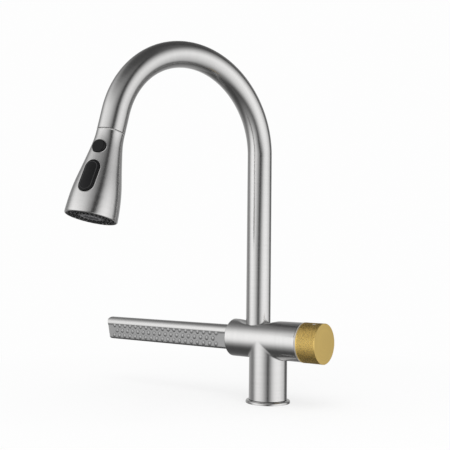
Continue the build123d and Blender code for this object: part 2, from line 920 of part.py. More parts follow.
def make_knob_grub_screw():
    low = stem_radius + seat_gap
    screw = rod(grub_radius, low, low + grub_length)
    key = Pos(0, 0, low + grub_length) * extrude(RegularPolygon(grub_key_radius, 6), -grub_key_depth)
    return grub_place() * (screw - key)


# Outlet bar at the other end of the tube

def bar_section(inset):
    """The bar's section in YZ: a round roll along the top over a flat front."""
    roll = bar_thickness / 2
    roll_height = bar_height / 2 - roll
    front = -roll + bar_lip + inset
    back = roll - inset
    low = -bar_height / 2 + inset
    flat = Pos((front + back) / 2, (low + roll_height) / 2) * Rectangle(back - front, roll_height - low)
    flat = fillet(flat.vertices().group_by(Axis.Y)[0], bar_foot_round - inset / 2)
    top = Pos(0, roll_height) * Circle(roll - inset)
    below = Pos(-roll, roll_height - roll) * Rectangle(2 * (bar_lip + inset), 2 * roll)
    return flat + (top - below)


def bar_side(inset, start):
    """The bar's side view in XZ, with its raked tip and round corners."""
    half = bar_height / 2 - inset
    lean = bar_rake * half / bar_height
    middle = bar_tip + bar_rake / 2 + inset
    tip_top = (middle - lean, half)
    tip_low = (middle + lean, -half)
    outline = Polyline((start, half), tip_top, tip_low, (start, -half), close=True)
    side = make_face(outline)
    tip = side.vertices().group_by(Axis.X)[0] + side.vertices().group_by(Axis.X)[1]
    return fillet(tip, bar_corner - inset / 2)


def bar_form(inset, start):
    across = Plane((bar_tip - cut_over, 0, tube_height), x_dir=(0, 1, 0), z_dir=(1, 0, 0))
    along = extrude(across * bar_section(inset), start - bar_tip + cut_over)
    side = Plane((0, 0, tube_height), x_dir=(1, 0, 0), z_dir=(0, -1, 0)) * bar_side(inset, start)
    return along & extrude(side, bar_thickness, both=True)


def bump_places():
    """Centres of the raised bumps: three rows, the middle one set half a pitch over."""
    places = []
    outer_count = math.floor((bump_start - bar_tip - bump_tip_margin) / bump_pitch) + 1
    for row in (-1, 0, 1):
        shift = bump_pitch / 2 if row == 0 else 0
        count = outer_count - 1 if row == 0 else outer_count
        for step in range(count):
            x = bump_start - shift - step * bump_pitch
            places.append((x, tube_height + bump_middle_row + row * bump_row_pitch))
    return places


def make_outlet_bar():
    bar = bar_form(0, tube_left) - bar_form(bar_wall, tube_left)
    front = -bar_thickness / 2 + bar_lip
    roll_height = tube_height + bar_height / 2 - bar_thickness / 2
    slit_low = bar_tip + bar_slit_end
    slit_length = bump_start + bar_slit_lead - slit_low
    slit = Box(slit_length, 2 * bar_wall, bar_slit, align=(Align.MIN, Align.MIN, Align.MAX))
    bar -= Pos(slit_low, front - lap, roll_height) * slit
    ball = (bump_height ** 2 + (bump_width / 2) ** 2) / (2 * bump_height)
    in_front = (Align.CENTER, Align.MAX, Align.CENTER)
    skin = Box(2 * bump_width, 2 * bump_width, 2 * bump_width, align=in_front)
    cap = (Pos(0, ball - bump_height, 0) * Sphere(ball)) & (Pos(0, bar_wall / 2, 0) * skin)
    bumps = [Pos(x, front, z) * cap for x, z in bump_places()]
    return bar + bumps


def make_bar_hub():
    hub = rod(hub_flange_radius, tube_left, tube_left + hub_flange_height)
    hub += rod(hub_radius, tube_left, hub_end)
    hub -= rod(hub_bore, tube_left - cut_over, hub_end + cut_over)
    for height in bar_ring_heights():
        hub -= o_ring_groove(hub_radius, height)
    clip_at = bar_collar_inner + running_gap
    groove_high = clip_at + clip_thickness + seat_gap
    groove = ring(hub_radius + cut_over, hub_radius - clip_groove, clip_at - seat_gap, groove_high)
    return tube_place * (hub - groove)


def bar_ring_heights():
    return [tube_left + offset for offset in hub_ring_offsets]


def make_bar_o_rings():
    return [tube_place * o_ring(hub_radius, height) for height in bar_ring_heights()]


def make_bar_clip():
    low = bar_collar_inner + running_gap
    whole = ring(hub_radius + clip_reach, hub_radius - clip_groove + seat_gap, low, low + clip_thickness)
    return tube_place * (whole - clip_mouth_box(hub_radius, low))


def make_bar_collar():
    low = tube_left + hub_flange_height + running_gap
    collar = tube_place * ring(tube_bore - seat_gap, hub_radius + running_gap, low, bar_collar_inner)
    return collar - dish(tube_wall + seat_gap)


nodes = {
    "deck_ring": make_deck_ring,
    "deck_gasket": make_deck_gasket,
    "pivot_spindle": make_pivot,
    "pivot_clip": make_pivot_clip,
    "thrust_washer": make_thrust_washer,
    "swivel_bush": make_swivel_bush,
    "body_shell": make_body_shell,
    "valve_core": make_valve_core,
    "spout_set_screw": make_set_screw,
    "spout_thrust_ring": make_spout_thrust_ring,
    "bar_collar": make_bar_collar,
    "cartridge_seal": make_cartridge_seal,
    "cartridge_base": make_cartridge_base,
    "cartridge_housing": make_cartridge_housing,
    "fixed_disc": make_fixed_disc,
    "cartridge_nut": make_cartridge_nut,
    "trim_ring": make_trim_ring,
    "gooseneck": make_gooseneck,
    "spout_foot": make_spout_foot,
    "spout_o_rings": make_spout_o_rings,
    "dock_collar": make_dock_collar,
    "hose_tail": make_hose_tail,
    "hose_ferrule": make_hose_ferrule,
    "hose_fitting": make_hose_fitting,
    "hose_washer": make_hose_washer,
    "neck_ring": make_neck_ring,
    "head_shell": make_head_shell,
    "head_core": make_head_core,
    "check_valve_cage": make_check_valve,
    "check_valve_poppet": make_check_poppet,
    "check_valve_spring": make_check_spring,
    "pause_button": make_pause_button,
    "pause_spring": make_pause_spring,
    "rocker_button": make_rocker_button,
    "rocker_pin": make_rocker_pin,
    "diverter_spool": make_diverter_spool,
    "spool_o_rings": make_spool_o_rings,
    "core_seal": make_core_seal,
    "nozzle_mat": make_nozzle_mat,
    "face_plate": make_face_plate,
    "aerator": make_aerator,
    "aerator_screen": make_aerator_screen,
    "moving_disc": make_moving_disc,
    "valve_stem": make_valve_stem,
    "stem_o_ring": make_stem_o_ring,
    "knob_adapter": make_knob_adapter,
    "knob_grub_screw": make_knob_grub_screw,
    "knob": make_knob,
    "index_dot": make_index_dot,
    "outlet_bar": make_outlet_bar,
    "bar_hub": make_bar_hub,
    "bar_o_rings": make_bar_o_rings,
    "bar_clip": make_bar_clip,
}

os.makedirs("parts", exist_ok=True)
for name, make in nodes.items():
    shape = make()
    if isinstance(shape, list):
        shape = Compound(children=shape)
    export_step(shape, f"parts/{name}.step")
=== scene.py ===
import bpy
import bmesh
import json
import math
from mathutils import Matrix, Vector
from mathutils.bvhtree import BVHTree

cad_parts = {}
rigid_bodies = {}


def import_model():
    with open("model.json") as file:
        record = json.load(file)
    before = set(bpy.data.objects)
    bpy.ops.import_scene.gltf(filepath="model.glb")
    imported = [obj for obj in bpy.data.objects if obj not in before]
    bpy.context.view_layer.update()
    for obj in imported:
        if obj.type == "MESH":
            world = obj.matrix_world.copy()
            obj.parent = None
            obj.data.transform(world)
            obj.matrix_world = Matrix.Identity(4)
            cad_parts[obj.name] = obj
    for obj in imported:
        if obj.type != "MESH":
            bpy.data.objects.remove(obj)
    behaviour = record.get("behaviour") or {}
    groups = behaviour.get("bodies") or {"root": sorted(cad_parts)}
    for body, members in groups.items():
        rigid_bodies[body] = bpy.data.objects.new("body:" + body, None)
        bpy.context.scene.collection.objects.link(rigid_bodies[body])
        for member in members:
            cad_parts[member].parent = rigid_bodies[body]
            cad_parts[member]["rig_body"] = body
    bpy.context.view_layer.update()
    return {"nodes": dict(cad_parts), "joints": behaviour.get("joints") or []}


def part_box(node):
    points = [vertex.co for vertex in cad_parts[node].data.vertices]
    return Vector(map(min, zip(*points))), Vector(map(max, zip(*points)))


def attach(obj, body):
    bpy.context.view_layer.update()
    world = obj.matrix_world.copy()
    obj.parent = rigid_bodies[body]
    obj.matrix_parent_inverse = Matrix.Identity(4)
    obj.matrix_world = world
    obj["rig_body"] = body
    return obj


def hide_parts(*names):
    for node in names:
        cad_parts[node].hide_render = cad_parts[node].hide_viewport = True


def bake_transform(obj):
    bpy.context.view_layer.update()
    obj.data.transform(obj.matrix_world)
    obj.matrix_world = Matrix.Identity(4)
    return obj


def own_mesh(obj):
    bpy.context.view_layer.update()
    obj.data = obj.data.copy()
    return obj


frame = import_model()
scene = bpy.context.scene


# The camera stands to the right of the faucet, higher than its cross tube, and looks slightly up. It
# sees the end face of the knob and the front of the outlet bar at a slant, as the photograph does.

camera_place = Vector((0.45584, -0.68106, 0.14585))
camera_azimuth = math.radians(37.339)
camera_lift = math.radians(3.766)
camera_roll = math.radians(0.713)
camera_lens = 57.207
camera_sensor = 36.0


def placed(name, data):
    """A new object in the scene."""
    piece = bpy.data.objects.new(name, data)
    scene.collection.objects.link(piece)
    return piece


def facing_ways(place, x, y, z):
    """The matrix of a place whose own axes point these three ways."""
    return Matrix.Translation(place) @ Matrix((x, y, z)).transposed().to_4x4()


to_camera = Vector((math.sin(camera_azimuth), -math.cos(camera_azimuth), 0.0))
looking = -to_camera * math.cos(camera_lift) + Vector((0, 0, math.sin(camera_lift)))
level_right = looking.cross(Vector((0, 0, 1))).normalized()
level_up = level_right.cross(looking)
camera_right = level_right * math.cos(camera_roll) + level_up * math.sin(camera_roll)
camera_up = level_up * math.cos(camera_roll) - level_right * math.sin(camera_roll)
camera_data = bpy.data.cameras.new("camera")
camera_data.sensor_width = camera_sensor
camera_data.lens = camera_lens
camera = placed("camera", camera_data)
camera.matrix_world = facing_ways(camera_place, camera_right, camera_up, -looking)
scene.camera = camera
scene.view_settings.view_transform = "Standard"


# The studio: a white room for the camera. The metal mirrors a darker one: a soft panel on the camera's
# left that widens upwards, a lower one on its right that narrows upwards, and grey elsewhere. A pale
# floor keeps the faucet's soft shadow. The lists hold (degrees, brightness) points.

left_panel = [(-180, 0.60), (-152, 0.52), (-134, 0.34), (-118, 0.24), (-104, 0.28), (-92, 0.82),
              (-77, 1.30), (-58, 1.20), (-42, 0.98), (-30, 0.66), (-20, 0.38), (-13, 0.24), (-9, 0.0),
              (-4, 0.0), (180, 0.0)]
left_heights = [(-90, 0.0), (-60, 0.05), (-44, 0.17), (-28, 0.40), (-13, 0.84), (2, 1.0), (24, 1.0),
                (40, 0.56), (52, 0.24), (64, 0.02), (90, 0.0)]
right_panel = [(-180, 0.0), (-9, 0.0), (-4, 0.0), (1, 0.16), (8, 0.34), (16, 0.62), (30, 1.10),
               (46, 1.26), (64, 1.30), (82, 1.10), (96, 0.90), (108, 0.82), (117, 0.16), (128, 0.0),
               (150, 0.25), (180, 0.55)]
right_heights = [(-90, 0.0), (-66, 0.20), (-46, 0.60), (-26, 0.80), (-12, 0.84), (2, 1.0), (18, 0.74),
                 (34, 0.38), (50, 0.04), (90, 0.0)]
room_greys = [(-90, 0.10), (-60, 0.05), (0, 0.04), (90, 0.07)]
panel_peak = 1.30
panel_centres = (-60, 100)
upper_spread = 50.0
lower_lean = 0.35
room_fill = 0.80
backdrop_white = 0.985


def add(tree, kind, sockets=None, **settings):
    """A new node. Sockets gives its inputs, by name or number, as values or as outputs of other nodes."""
    node = tree.nodes.new(kind)
    for name, value in settings.items():
        setattr(node, name, value)
    for key, value in (sockets or {}).items():
        if isinstance(value, bpy.types.NodeSocket):
            tree.links.new(value, node.inputs[key])
        else:
            node.inputs[key].default_value = value
    return node


def calc(tree, operation, *values):
    """The result of a sum or function of one to three numbers or outputs."""
    return add(tree, "ShaderNodeMath", dict(enumerate(values)), operation=operation).outputs[0]


def glow_along(tree, angle, low, high, points, peak):
    """A smooth curve of brightness over an angle in degrees."""
    ramp = add(tree, "ShaderNodeValToRGB",
               {0: calc(tree, "DIVIDE", calc(tree, "SUBTRACT", angle, low), high - low)})
    ramp.color_ramp.interpolation = "B_SPLINE"
    stops = ramp.color_ramp.elements
    for index, (degrees, level) in enumerate(points):
        place = (degrees - low) / (high - low)
        stop = stops[index] if index < 2 else stops.new(place)
        stop.position = place
        stop.color = (*[level / peak] * 3, 1)
    return calc(tree, "MULTIPLY", ramp.outputs[0], peak)


world = bpy.data.worlds.new("studio")
scene.world = world
world.use_nodes = True
room = world.node_tree
room.nodes.clear()
way = add(room, "ShaderNodeSeparateXYZ", {0: add(room, "ShaderNodeTexCoord").outputs["Generated"]}).outputs
side = calc(room, "ADD", calc(room, "MULTIPLY", way[0], math.cos(camera_azimuth)),
            calc(room, "MULTIPLY", way[1], math.sin(camera_azimuth)))
ahead = calc(room, "ADD", calc(room, "MULTIPLY", way[0], math.sin(camera_azimuth)),
             calc(room, "MULTIPLY", way[1], -math.cos(camera_azimuth)))
around = calc(room, "DEGREES", calc(room, "ARCTAN2", side, ahead))
height = calc(room, "DEGREES", calc(room, "ARCSINE", way[2]))
above = calc(room, "MULTIPLY_ADD", calc(room, "MAXIMUM", height, 0.0), 1 / upper_spread, 1.0)
below = calc(room, "MULTIPLY", calc(room, "MINIMUM", height, 0.0), lower_lean)
left_turn = calc(room, "DIVIDE", calc(room, "SUBTRACT", around, panel_centres[0]), above)
left_turn = calc(room, "ADD", calc(room, "ADD", left_turn, panel_centres[0]), below)
right_turn = calc(room, "MULTIPLY", calc(room, "SUBTRACT", around, panel_centres[1]), above)
right_turn = calc(room, "ADD", right_turn, panel_centres[1])
panels = glow_along(room, height, -90, 90, room_greys, 1.0)
for turn, profile, heights in ((left_turn, left_panel, left_heights),
                               (right_turn, right_panel, right_heights)):
    panels = calc(room, "MULTIPLY_ADD", glow_along(room, turn, -180, 180, profile, panel_peak),
                  glow_along(room, height, -90, 90, heights, 1.0), panels)
rays = add(room, "ShaderNodeLightPath").outputs
mirror_rays = calc(room, "MAXIMUM", rays["Is Glossy Ray"], rays["Is Transmission Ray"])
lit = add(room, "ShaderNodeMix", {0: mirror_rays, 2: room_fill, 3: panels}, data_type="FLOAT").outputs[0]
seen = add(room, "ShaderNodeMix", {0: rays["Is Camera Ray"], 2: lit, 3: backdrop_white}, data_type="FLOAT")
glow = add(room, "ShaderNodeBackground", {"Color": (1, 1, 1, 1), "Strength": seen.outputs[0]})
add(room, "ShaderNodeOutputWorld", {0: glow.outputs[0]})

half_floor = 4.0
floor_grey = 0.90
lamp_place = Vector((0.35, -0.55, 1.35))
lamp_aim = Vector((-0.05, 0, 0.15))
shadow_near = 0.12
shadow_far = 0.55
shadow_share = 0.30
floor_mesh = bpy.data.meshes.new("floor")
floor_mesh.from_pydata([(-half_floor, -half_floor, 0), (half_floor, -half_floor, 0),
                        (half_floor, half_floor, 0), (-half_floor, half_floor, 0)], [], [(0, 1, 2, 3)])
floor = placed("floor", floor_mesh)
floor.visible_glossy = False
floor_paint = bpy.data.materials.new("floor_paint")
floor_paint.use_nodes = True
paint = floor_paint.node_tree
paint.nodes.clear()
matt = add(paint, "ShaderNodeBsdfDiffuse", {"Color": (*[floor_grey] * 3, 1)})
white = add(paint, "ShaderNodeEmission", {"Color": (*[backdrop_white] * 3, 1)})
reach = add(paint, "ShaderNodeVectorMath", {0: add(paint, "ShaderNodeTexCoord").outputs["Object"]},
            operation="LENGTH").outputs["Value"]
fade = add(paint, "ShaderNodeMapRange", {"Value": reach, "From Min": shadow_near, "From Max": shadow_far,
                                         "To Min": 1 - shadow_share, "To Max": 1.0}).outputs[0]
plain = calc(paint, "MULTIPLY", add(paint, "ShaderNodeLightPath").outputs["Is Camera Ray"], fade)
cover = add(paint, "ShaderNodeMixShader", {0: plain, 1: matt.outputs[0], 2: white.outputs[0]})
add(paint, "ShaderNodeOutputMaterial", {0: cover.outputs[0]})
floor_mesh.materials.append(floor_paint)

lamp_data = bpy.data.lights.new("overhead", "AREA")
lamp_data.size = 1.2
lamp_data.energy = 9.0
lamp = placed("overhead", lamp_data)
lamp.location = lamp_place
lamp.rotation_euler = (lamp_aim - lamp_place).to_track_quat("-Z", "Y").to_euler()
lamp.visible_glossy = False


# Deck ring: a thin turned ring of satin stainless steel under the body, flared to its edge, which
# stands still while the body turns. A rubber gasket lies in a groove under it.

blotches_to_lines = 0.21
grains_to_blotch = 5
fine_detail = 3.0
slow_detail = 2.0
noise_low = 0.34
noise_high = 0.66
bump_strength = 0.6
smooth_angle = math.radians(34.0)
same_point = 0.0000005
near_point = 0.000002
corner_steps = 8


def surface(name, colour, roughness, metallic=0.0, grain=900.0, depth=0.00001, tint=0.10, patchy=0.06,
            lines=None, shine=0.5):
    """A procedural finish. Grain is how often its noise repeats in a metre, over slower blotches. Depth
    is how deep it goes, tint and patchy how far colour and roughness vary. Lines, with its own three
    rates, is a brushed finish on the stored lathe points: its third rate runs across the lines."""
    material = bpy.data.materials.new(name)
    material.use_nodes = True
    tree = material.node_tree
    if lines:
        where = add(tree, "ShaderNodeAttribute", attribute_name="brush").outputs["Vector"]
        where = add(tree, "ShaderNodeVectorMath", {0: where, 1: lines}, operation="MULTIPLY").outputs[0]
        fine_rate = 1.0
        slow_rate = blotches_to_lines
    else:
        where = add(tree, "ShaderNodeTexCoord").outputs["Object"]
        fine_rate = grain
        slow_rate = grain / grains_to_blotch
    noises = [add(tree, "ShaderNodeTexNoise", {"Vector": where, "Scale": rate, "Detail": detail})
              for rate, detail in ((fine_rate, fine_detail), (slow_rate, slow_detail))]
    fine, slow = [noise.outputs["Fac"] for noise in noises]
    blend = calc(tree, "MULTIPLY_ADD", fine, 0.5, calc(tree, "MULTIPLY", slow, 0.5))
    even = add(tree, "ShaderNodeMapRange", {"Value": blend, "From Min": noise_low,
                                            "From Max": noise_high}).outputs[0]
    dark = (*[value * (1 - tint) for value in colour], 1)
    pale = (*[min(1, value * (1 + tint)) for value in colour], 1)
    paint = add(tree, "ShaderNodeMix", {0: even, 6: dark, 7: pale}, data_type="RGBA").outputs[2]
    gloss = add(tree, "ShaderNodeMapRange", {"Value": even, "To Min": roughness - patchy,
                                             "To Max": roughness + patchy}).outputs[0]
    bump = add(tree, "ShaderNodeBump", {"Strength": bump_strength, "Distance": depth, "Height": fine})
    shader = tree.nodes["Principled BSDF"]
    shader.inputs["Metallic"].default_value = metallic
    shader.inputs["Specular IOR Level"].default_value = shine
    for socket, value in (("Base Color", paint), ("Roughness", gloss), ("Normal", bump.outputs[0])):
        tree.links.new(value, shader.inputs[socket])
    return material


def brush_lines(mesh, place=Matrix()):
    """Stores where each point lies on the lathe: the lines run round the Z axis of that place."""
    stored = mesh.attributes.new("brush", "FLOAT_VECTOR", "POINT")
    to_lathe = place.inverted()
    for vertex, line in zip(mesh.vertices, stored.data):
        point = to_lathe @ vertex.co
        line.vector = (point.x, point.y, point.z + math.hypot(point.x, point.y))


def settled(name, mesh, node, material):
    """A finished piece that stands for a node: smooth up to an edge's angle, its flat faces kept flat."""
    shape = bmesh.new()
    shape.from_mesh(mesh)
    for face in shape.faces:
        face.smooth = True
    for line in shape.edges:
        line.smooth = line.is_manifold and line.calc_face_angle() < smooth_angle
    shape.to_mesh(mesh)
    shape.free()
    piece = placed(name, mesh)
    evened = piece.modifiers.new("evened", "WEIGHTED_NORMAL")
    evened.keep_sharp = True
    plain_mesh(piece)
    mesh = piece.data
    mesh.materials.clear()
    mesh.materials.append(material)
    if node:
        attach(piece, frame["nodes"][node]["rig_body"])
        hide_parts(node)
    return piece


def mesh_made(piece):
    """A new mesh of what a piece's modifiers make of it."""
    return bpy.data.meshes.new_from_object(piece.evaluated_get(bpy.context.evaluated_depsgraph_get()))


def plain_mesh(piece):
    """Turns what a piece's modifiers make of it into its own mesh, and takes the modifiers off."""
    made = mesh_made(piece)
    piece.modifiers.clear()
    piece.data = made


def mesh_of(name, shape):
    """The mesh of a shape that was worked on, which is freed."""
    mesh = bpy.data.meshes.new(name)
    shape.to_mesh(mesh)
    shape.free()
    return mesh


def machined(node, material, place=Matrix()):
    """A node's own form, its triangles joined, smoothed between its edges and given its brush lines."""
    mesh = frame["nodes"][node].data.copy()
    shape = bmesh.new()
    shape.from_mesh(mesh)
    bmesh.ops.remove_doubles(shape, verts=shape.verts, dist=near_point)
    shape.to_mesh(mesh)
    shape.free()
    if "custom_normal" in mesh.attributes:
        mesh.attributes.remove(mesh.attributes["custom_normal"])
    brush_lines(mesh, place)
    return settled(node + "_finish", mesh, node, material)


def coat(material, *names):
    """Gives CAD nodes that are already the right shape their finish."""
    for name in names:
        data = frame["nodes"][name].data
        data.materials.clear()
        data.materials.append(material)


def rounded(corners):
    """An outline through (across, up, radius) corners, each turned in an arc of its radius."""
    points = []
    for before, corner, after in zip(corners[-1:] + corners[:-1], corners, corners[1:] + corners[:1]):
        centre = Vector(corner[:2])
        ways = [(Vector(other[:2]) - centre).normalized() for other in (before, after)]
        half = ways[0].angle(ways[1]) / 2
        if corner[2] == 0.0:
            points.append(centre)
            continue
        middle = centre + (ways[0] + ways[1]).normalized() * corner[2] / math.sin(half)
        first, last = [centre + way * corner[2] / math.tan(half) - middle for way in ways]
        swing = math.pi - 2 * half
        for step in range(corner_steps + 1):
            share = step / corner_steps
            points.append(middle + (first * math.sin((1 - share) * swing)
                                    + last * math.sin(share * swing)) / math.sin(swing))
    return points


def turned(outline, place, sides=96):
    """A closed solid of revolution, from its outline's (radius, height) points round the Z axis."""
    shape = bmesh.new()
    rings = []
    for side_index in range(sides):
        turn = 2 * math.pi * side_index / sides
        rings.append([shape.verts.new(place @ Vector((radius * math.cos(turn), radius * math.sin(turn), z)))
                      for radius, z in outline])
    for ring, following in zip(rings, rings[1:] + rings[:1]):
        for low, high in zip(range(len(outline)), (*range(1, len(outline)), 0)):
            shape.faces.new((ring[low], following[low], following[high], ring[high]))
    bmesh.ops.remove_doubles(shape, verts=shape.verts, dist=same_point)
    bmesh.ops.dissolve_degenerate(shape, edges=shape.edges, dist=same_point)
    bmesh.ops.recalc_face_normals(shape, faces=shape.faces)
    return mesh_of("turned", shape)


def brushed(name, roughness):
    """Satin stainless steel with fine turned lines."""
    return surface(name, steel_colour, roughness, 1.0, depth=line_depth, tint=0.04, patchy=0.03,
                   lines=turned_lines)


steel_colour = (0.66, 0.655, 0.65)
turned_lines = (90, 90, 3600)
line_depth = 0.0000022
ring_steel = brushed("ring_steel", 0.18)
ring_inside = 0.0176
ring_outside = 0.025
ring_height = 0.0034
ring_bead = 0.0027
ring_shoulder = 0.0224
ring_foot_round = 0.0002
ring_bead_round = 0.0013
ring_top_round = 0.0004
groove_inside = 0.01975
groove_outside = 0.02275
groove_height = 0.0012
ring_outline = rounded([(ring_inside, 0, 0.0), (groove_inside, 0, 0.0), (groove_inside, groove_height, 0.0),
                        (groove_outside, groove_height, 0.0), (groove_outside, 0, 0.0),
                        (ring_outside, 0, ring_foot_round), (ring_outside, ring_bead, ring_bead_round),
                        (ring_shoulder, ring_height, ring_top_round), (ring_inside, ring_height, 0.0)])
ring_mesh = turned(ring_outline, Matrix())
brush_lines(ring_mesh)
settled("deck_ring_finish", ring_mesh, "deck_ring", ring_steel)
rubber = surface("black_rubber", (0.030, 0.030, 0.031), 0.62, grain=1400, depth=0.00002, tint=0.25)
coat(rubber, "deck_gasket")


# Pivot: a turned brass spindle fixed to the deck, with a spring clip that keeps the body on it, an
# acetal bush that the body turns on, and the thin dark washer that shows as the seam over the ring.

brass = surface("valve_brass", (0.60, 0.45, 0.22), 0.36, 1.0, grain=1100, depth=0.00002, tint=0.14)
spring_steel = surface("spring_steel", (0.50, 0.50, 0.51), 0.30, 1.0, grain=1500, tint=0.08)
acetal = surface("acetal", (0.75, 0.75, 0.73), 0.42, grain=700, tint=0.04)
seam_black = surface("seam_black", (0.022, 0.022, 0.023), 0.55, grain=1500, tint=0.2)
coat(brass, "pivot_spindle")
coat(spring_steel, "pivot_clip")
coat(acetal, "swivel_bush")
machined("thrust_washer", seam_black)


# Body: an upright pipe and a cross tube of stainless steel, welded and ground to one T with a soft
# crease, then brushed. A shallow dish is pressed into the top, and the spout enters through it.

body_low, body_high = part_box("body_shell")
tube_left = body_low.x
tube_right = body_high.x
body_bottom = body_low.z
tube_radius = body_high.y
tube_height = body_high.z - tube_radius
pipe_radius = 0.0215
pipe_flare = 0.008
shell_wall = 0.0013
rim_round = 0.0012
crease_soft = 0.0022
crease_sharp = 0.0007
dish_centre = -0.014
dish_radius = 0.027
dish_floor_radius = 0.0155
dish_depth = 0.0046
dish_softness = 0.0009
spout_hole_radius = 0.0143
screw_hole_radius = 0.00255
screw_height = 0.0633
body_rows = 96
rim_steps = 5
crease_steps = 8
left_columns = 64
right_columns = 44
pipe_columns = 14
pipe_spacing = 1.6
pipe_finish_gap = 0.2
spout_hole_low = 0.004
screw_hole_low = 0.010
hole_high = 0.030
hole_sides = 32


def eased(share):
    """A share from 0 to 1 with a soft start and a soft end."""
    share = min(1.0, max(0.0, share))
    return share * share * (3 - 2 * share)


def dished(x, y, z):
    """The height of the tube's top at a place, where the dish lowers it, with a soft rim."""
    reach = math.hypot(x - dish_centre, y)
    slope = dish_depth / (dish_radius - dish_floor_radius)
    soft = math.hypot(reach - dish_floor_radius, dish_softness)
    rise = slope * (reach - dish_floor_radius + soft) / 2
    sunk = tube_height + tube_radius - dish_depth + rise
    return (z + sunk - math.hypot(z - sunk, dish_softness)) / 2


def pipe_across(end, columns):
    """Places along the cross tube from its middle to one end, with its rounded rim: (x, drop)."""
    straight = end - math.copysign(rim_round, end)
    places = [(straight * step / columns, 0.0) for step in range(columns + 1)]
    for step in range(1, rim_steps + 1):
        turn = math.pi / 2 * step / rim_steps
        places.append((straight + math.copysign(rim_round, end) * math.sin(turn),
                       rim_round * (1 - math.cos(turn))))
    return places


def top_row(turn):
    """Points across the top half of the cross tube at one turn about its axis, left end to right end."""
    places = pipe_across(tube_left, left_columns)[:0:-1] + pipe_across(tube_right, right_columns)
    row = []
    for x, drop in places:
        radius = tube_radius - drop
        y = -radius * math.cos(turn)
        z = tube_height + radius * math.sin(turn)
        row.append((x, y, dished(x, y, z) if drop == 0.0 else z))
    return row


def low_row(turn, end, columns):
    """Points from one end of the tube, along its underside, round the crease and down the pipe."""
    hand = math.copysign(1.0, end)
    round_here = 2 * crease_soft * math.sin(turn) * math.cos(turn) ** 2 + crease_sharp * math.sin(turn)
    start = pipe_radius * math.sin(turn) + round_here
    row = []
    for x, drop in reversed(pipe_across(end, columns)):
        radius = tube_radius - drop
        across = hand * start + x * (abs(end) - start) / abs(end)
        row.append((across, -radius * math.cos(turn), tube_height - radius * math.sin(turn)))
    low = tube_height - tube_radius * math.sin(turn)
    for step in range(1, crease_steps + 1):
        angle = math.pi / 2 * step / crease_steps
        x = start - round_here * math.sin(angle)
        row.append((hand * x, -tube_radius * math.cos(turn), low - round_here * (1 - math.cos(angle))))
    top = low - round_here
    for step in range(1, pipe_columns + 1):
        share = (step / pipe_columns) ** pipe_spacing
        z = top + (body_bottom - top) * share
        radius = tube_radius + (pipe_radius - tube_radius) * eased((top - z) / pipe_flare)
        row.append((hand * pipe_radius * math.sin(turn), -radius * math.cos(turn), z))
    return row


def quilt(shape, rows, flip=False):
    """Faces between rows of points."""
    lines = [[shape.verts.new(point) for point in row] for row in rows]
    for first, second in zip(lines, lines[1:]):
        for a, b, c, d in zip(first, first[1:], second[1:], second):
            shape.faces.new((d, c, b, a) if flip else (a, b, c, d))


body_shape = bmesh.new()
turns = [math.pi * step / body_rows for step in range(body_rows + 1)]
quilt(body_shape, [top_row(turn) for turn in turns])
quilt(body_shape, [low_row(turn, tube_right, right_columns) for turn in turns])
quilt(body_shape, [low_row(turn, tube_left, left_columns) for turn in turns], flip=True)
bmesh.ops.remove_doubles(body_shape, verts=body_shape.verts, dist=same_point)
bmesh.ops.dissolve_degenerate(body_shape, edges=body_shape.edges, dist=same_point)


def hollow(piece, thickness):
    """Gives a skin its wall, inwards."""
    wall = piece.modifiers.new("wall", "SOLIDIFY")
    wall.thickness = thickness
    wall.offset = -1.0


def carve(piece, other, operation):
    """Cuts a piece with another object, or to it, and takes the other away."""
    change = piece.modifiers.new("carve", "BOOLEAN")
    change.object = other
    change.operation = operation
    change.solver = "EXACT"
    plain_mesh(piece)
    bpy.data.objects.remove(other)


def mesh_taken(piece):
    """The mesh of a piece, which is taken away."""
    mesh = piece.data
    bpy.data.objects.remove(piece)
    return mesh


def cut(piece, radius, low, high, place, sides=96):
    """Drills a round hole along the Z axis of a place."""
    drill_shape = bmesh.new()
    bmesh.ops.create_cone(drill_shape, cap_ends=True, segments=sides, radius1=radius, radius2=radius,
                          depth=high - low, matrix=place @ Matrix.Translation((0, 0, (low + high) / 2)))
    carve(piece, placed("drill", mesh_of("drill", drill_shape)), "DIFFERENCE")


blank = placed("body_blank", mesh_of("body_shell_finish", body_shape))
hollow(blank, shell_wall)
plain_mesh(blank)
cut(blank, spout_hole_radius, tube_height + spout_hole_low, tube_height + hole_high,
    Matrix.Translation((dish_centre, 0, 0)))
cut(blank, screw_hole_radius, screw_hole_low, hole_high,
    Matrix.Translation((dish_centre, 0, screw_height)) @ Matrix.Rotation(-math.pi / 2, 4, "X"),
    hole_sides)
body_mesh = mesh_taken(blank)

tube_axis = Matrix.Translation((0, 0, tube_height)) @ Matrix.Rotation(math.pi / 2, 4, "Y")
stored = body_mesh.attributes.new("brush", "FLOAT_VECTOR", "CORNER")
to_tube = tube_axis.inverted()
for face in body_mesh.polygons:
    centre = face.center
    from_pipe_axis = math.hypot(centre.x, centre.y)
    from_tube_axis = math.hypot(centre.y, centre.z - tube_height)
    on_pipe = (from_pipe_axis < pipe_radius + crease_sharp
               and from_tube_axis > tube_radius + crease_sharp * pipe_finish_gap)
    for corner in face.loop_indices:
        point = body_mesh.vertices[body_mesh.loops[corner].vertex_index].co
        if not on_pipe:
            point = to_tube @ point
        stored.data[corner].vector = (point.x, point.y, point.z + math.hypot(point.x, point.y))
body_steel = brushed("body_steel", 0.17)
settled("body_shell_finish", body_mesh, "body_shell", body_steel)


# Valve core: one machined brass block with its water channels, kept by the body. A steel set screw
# and a low-friction ring carry the spout in it.

screw_steel = surface("screw_steel", (0.40, 0.40, 0.42), 0.34, 1.0, grain=1500, tint=0.10)
coat(brass, "valve_core")
coat(screw_steel, "spout_set_screw")
coat(acetal, "spout_thrust_ring")


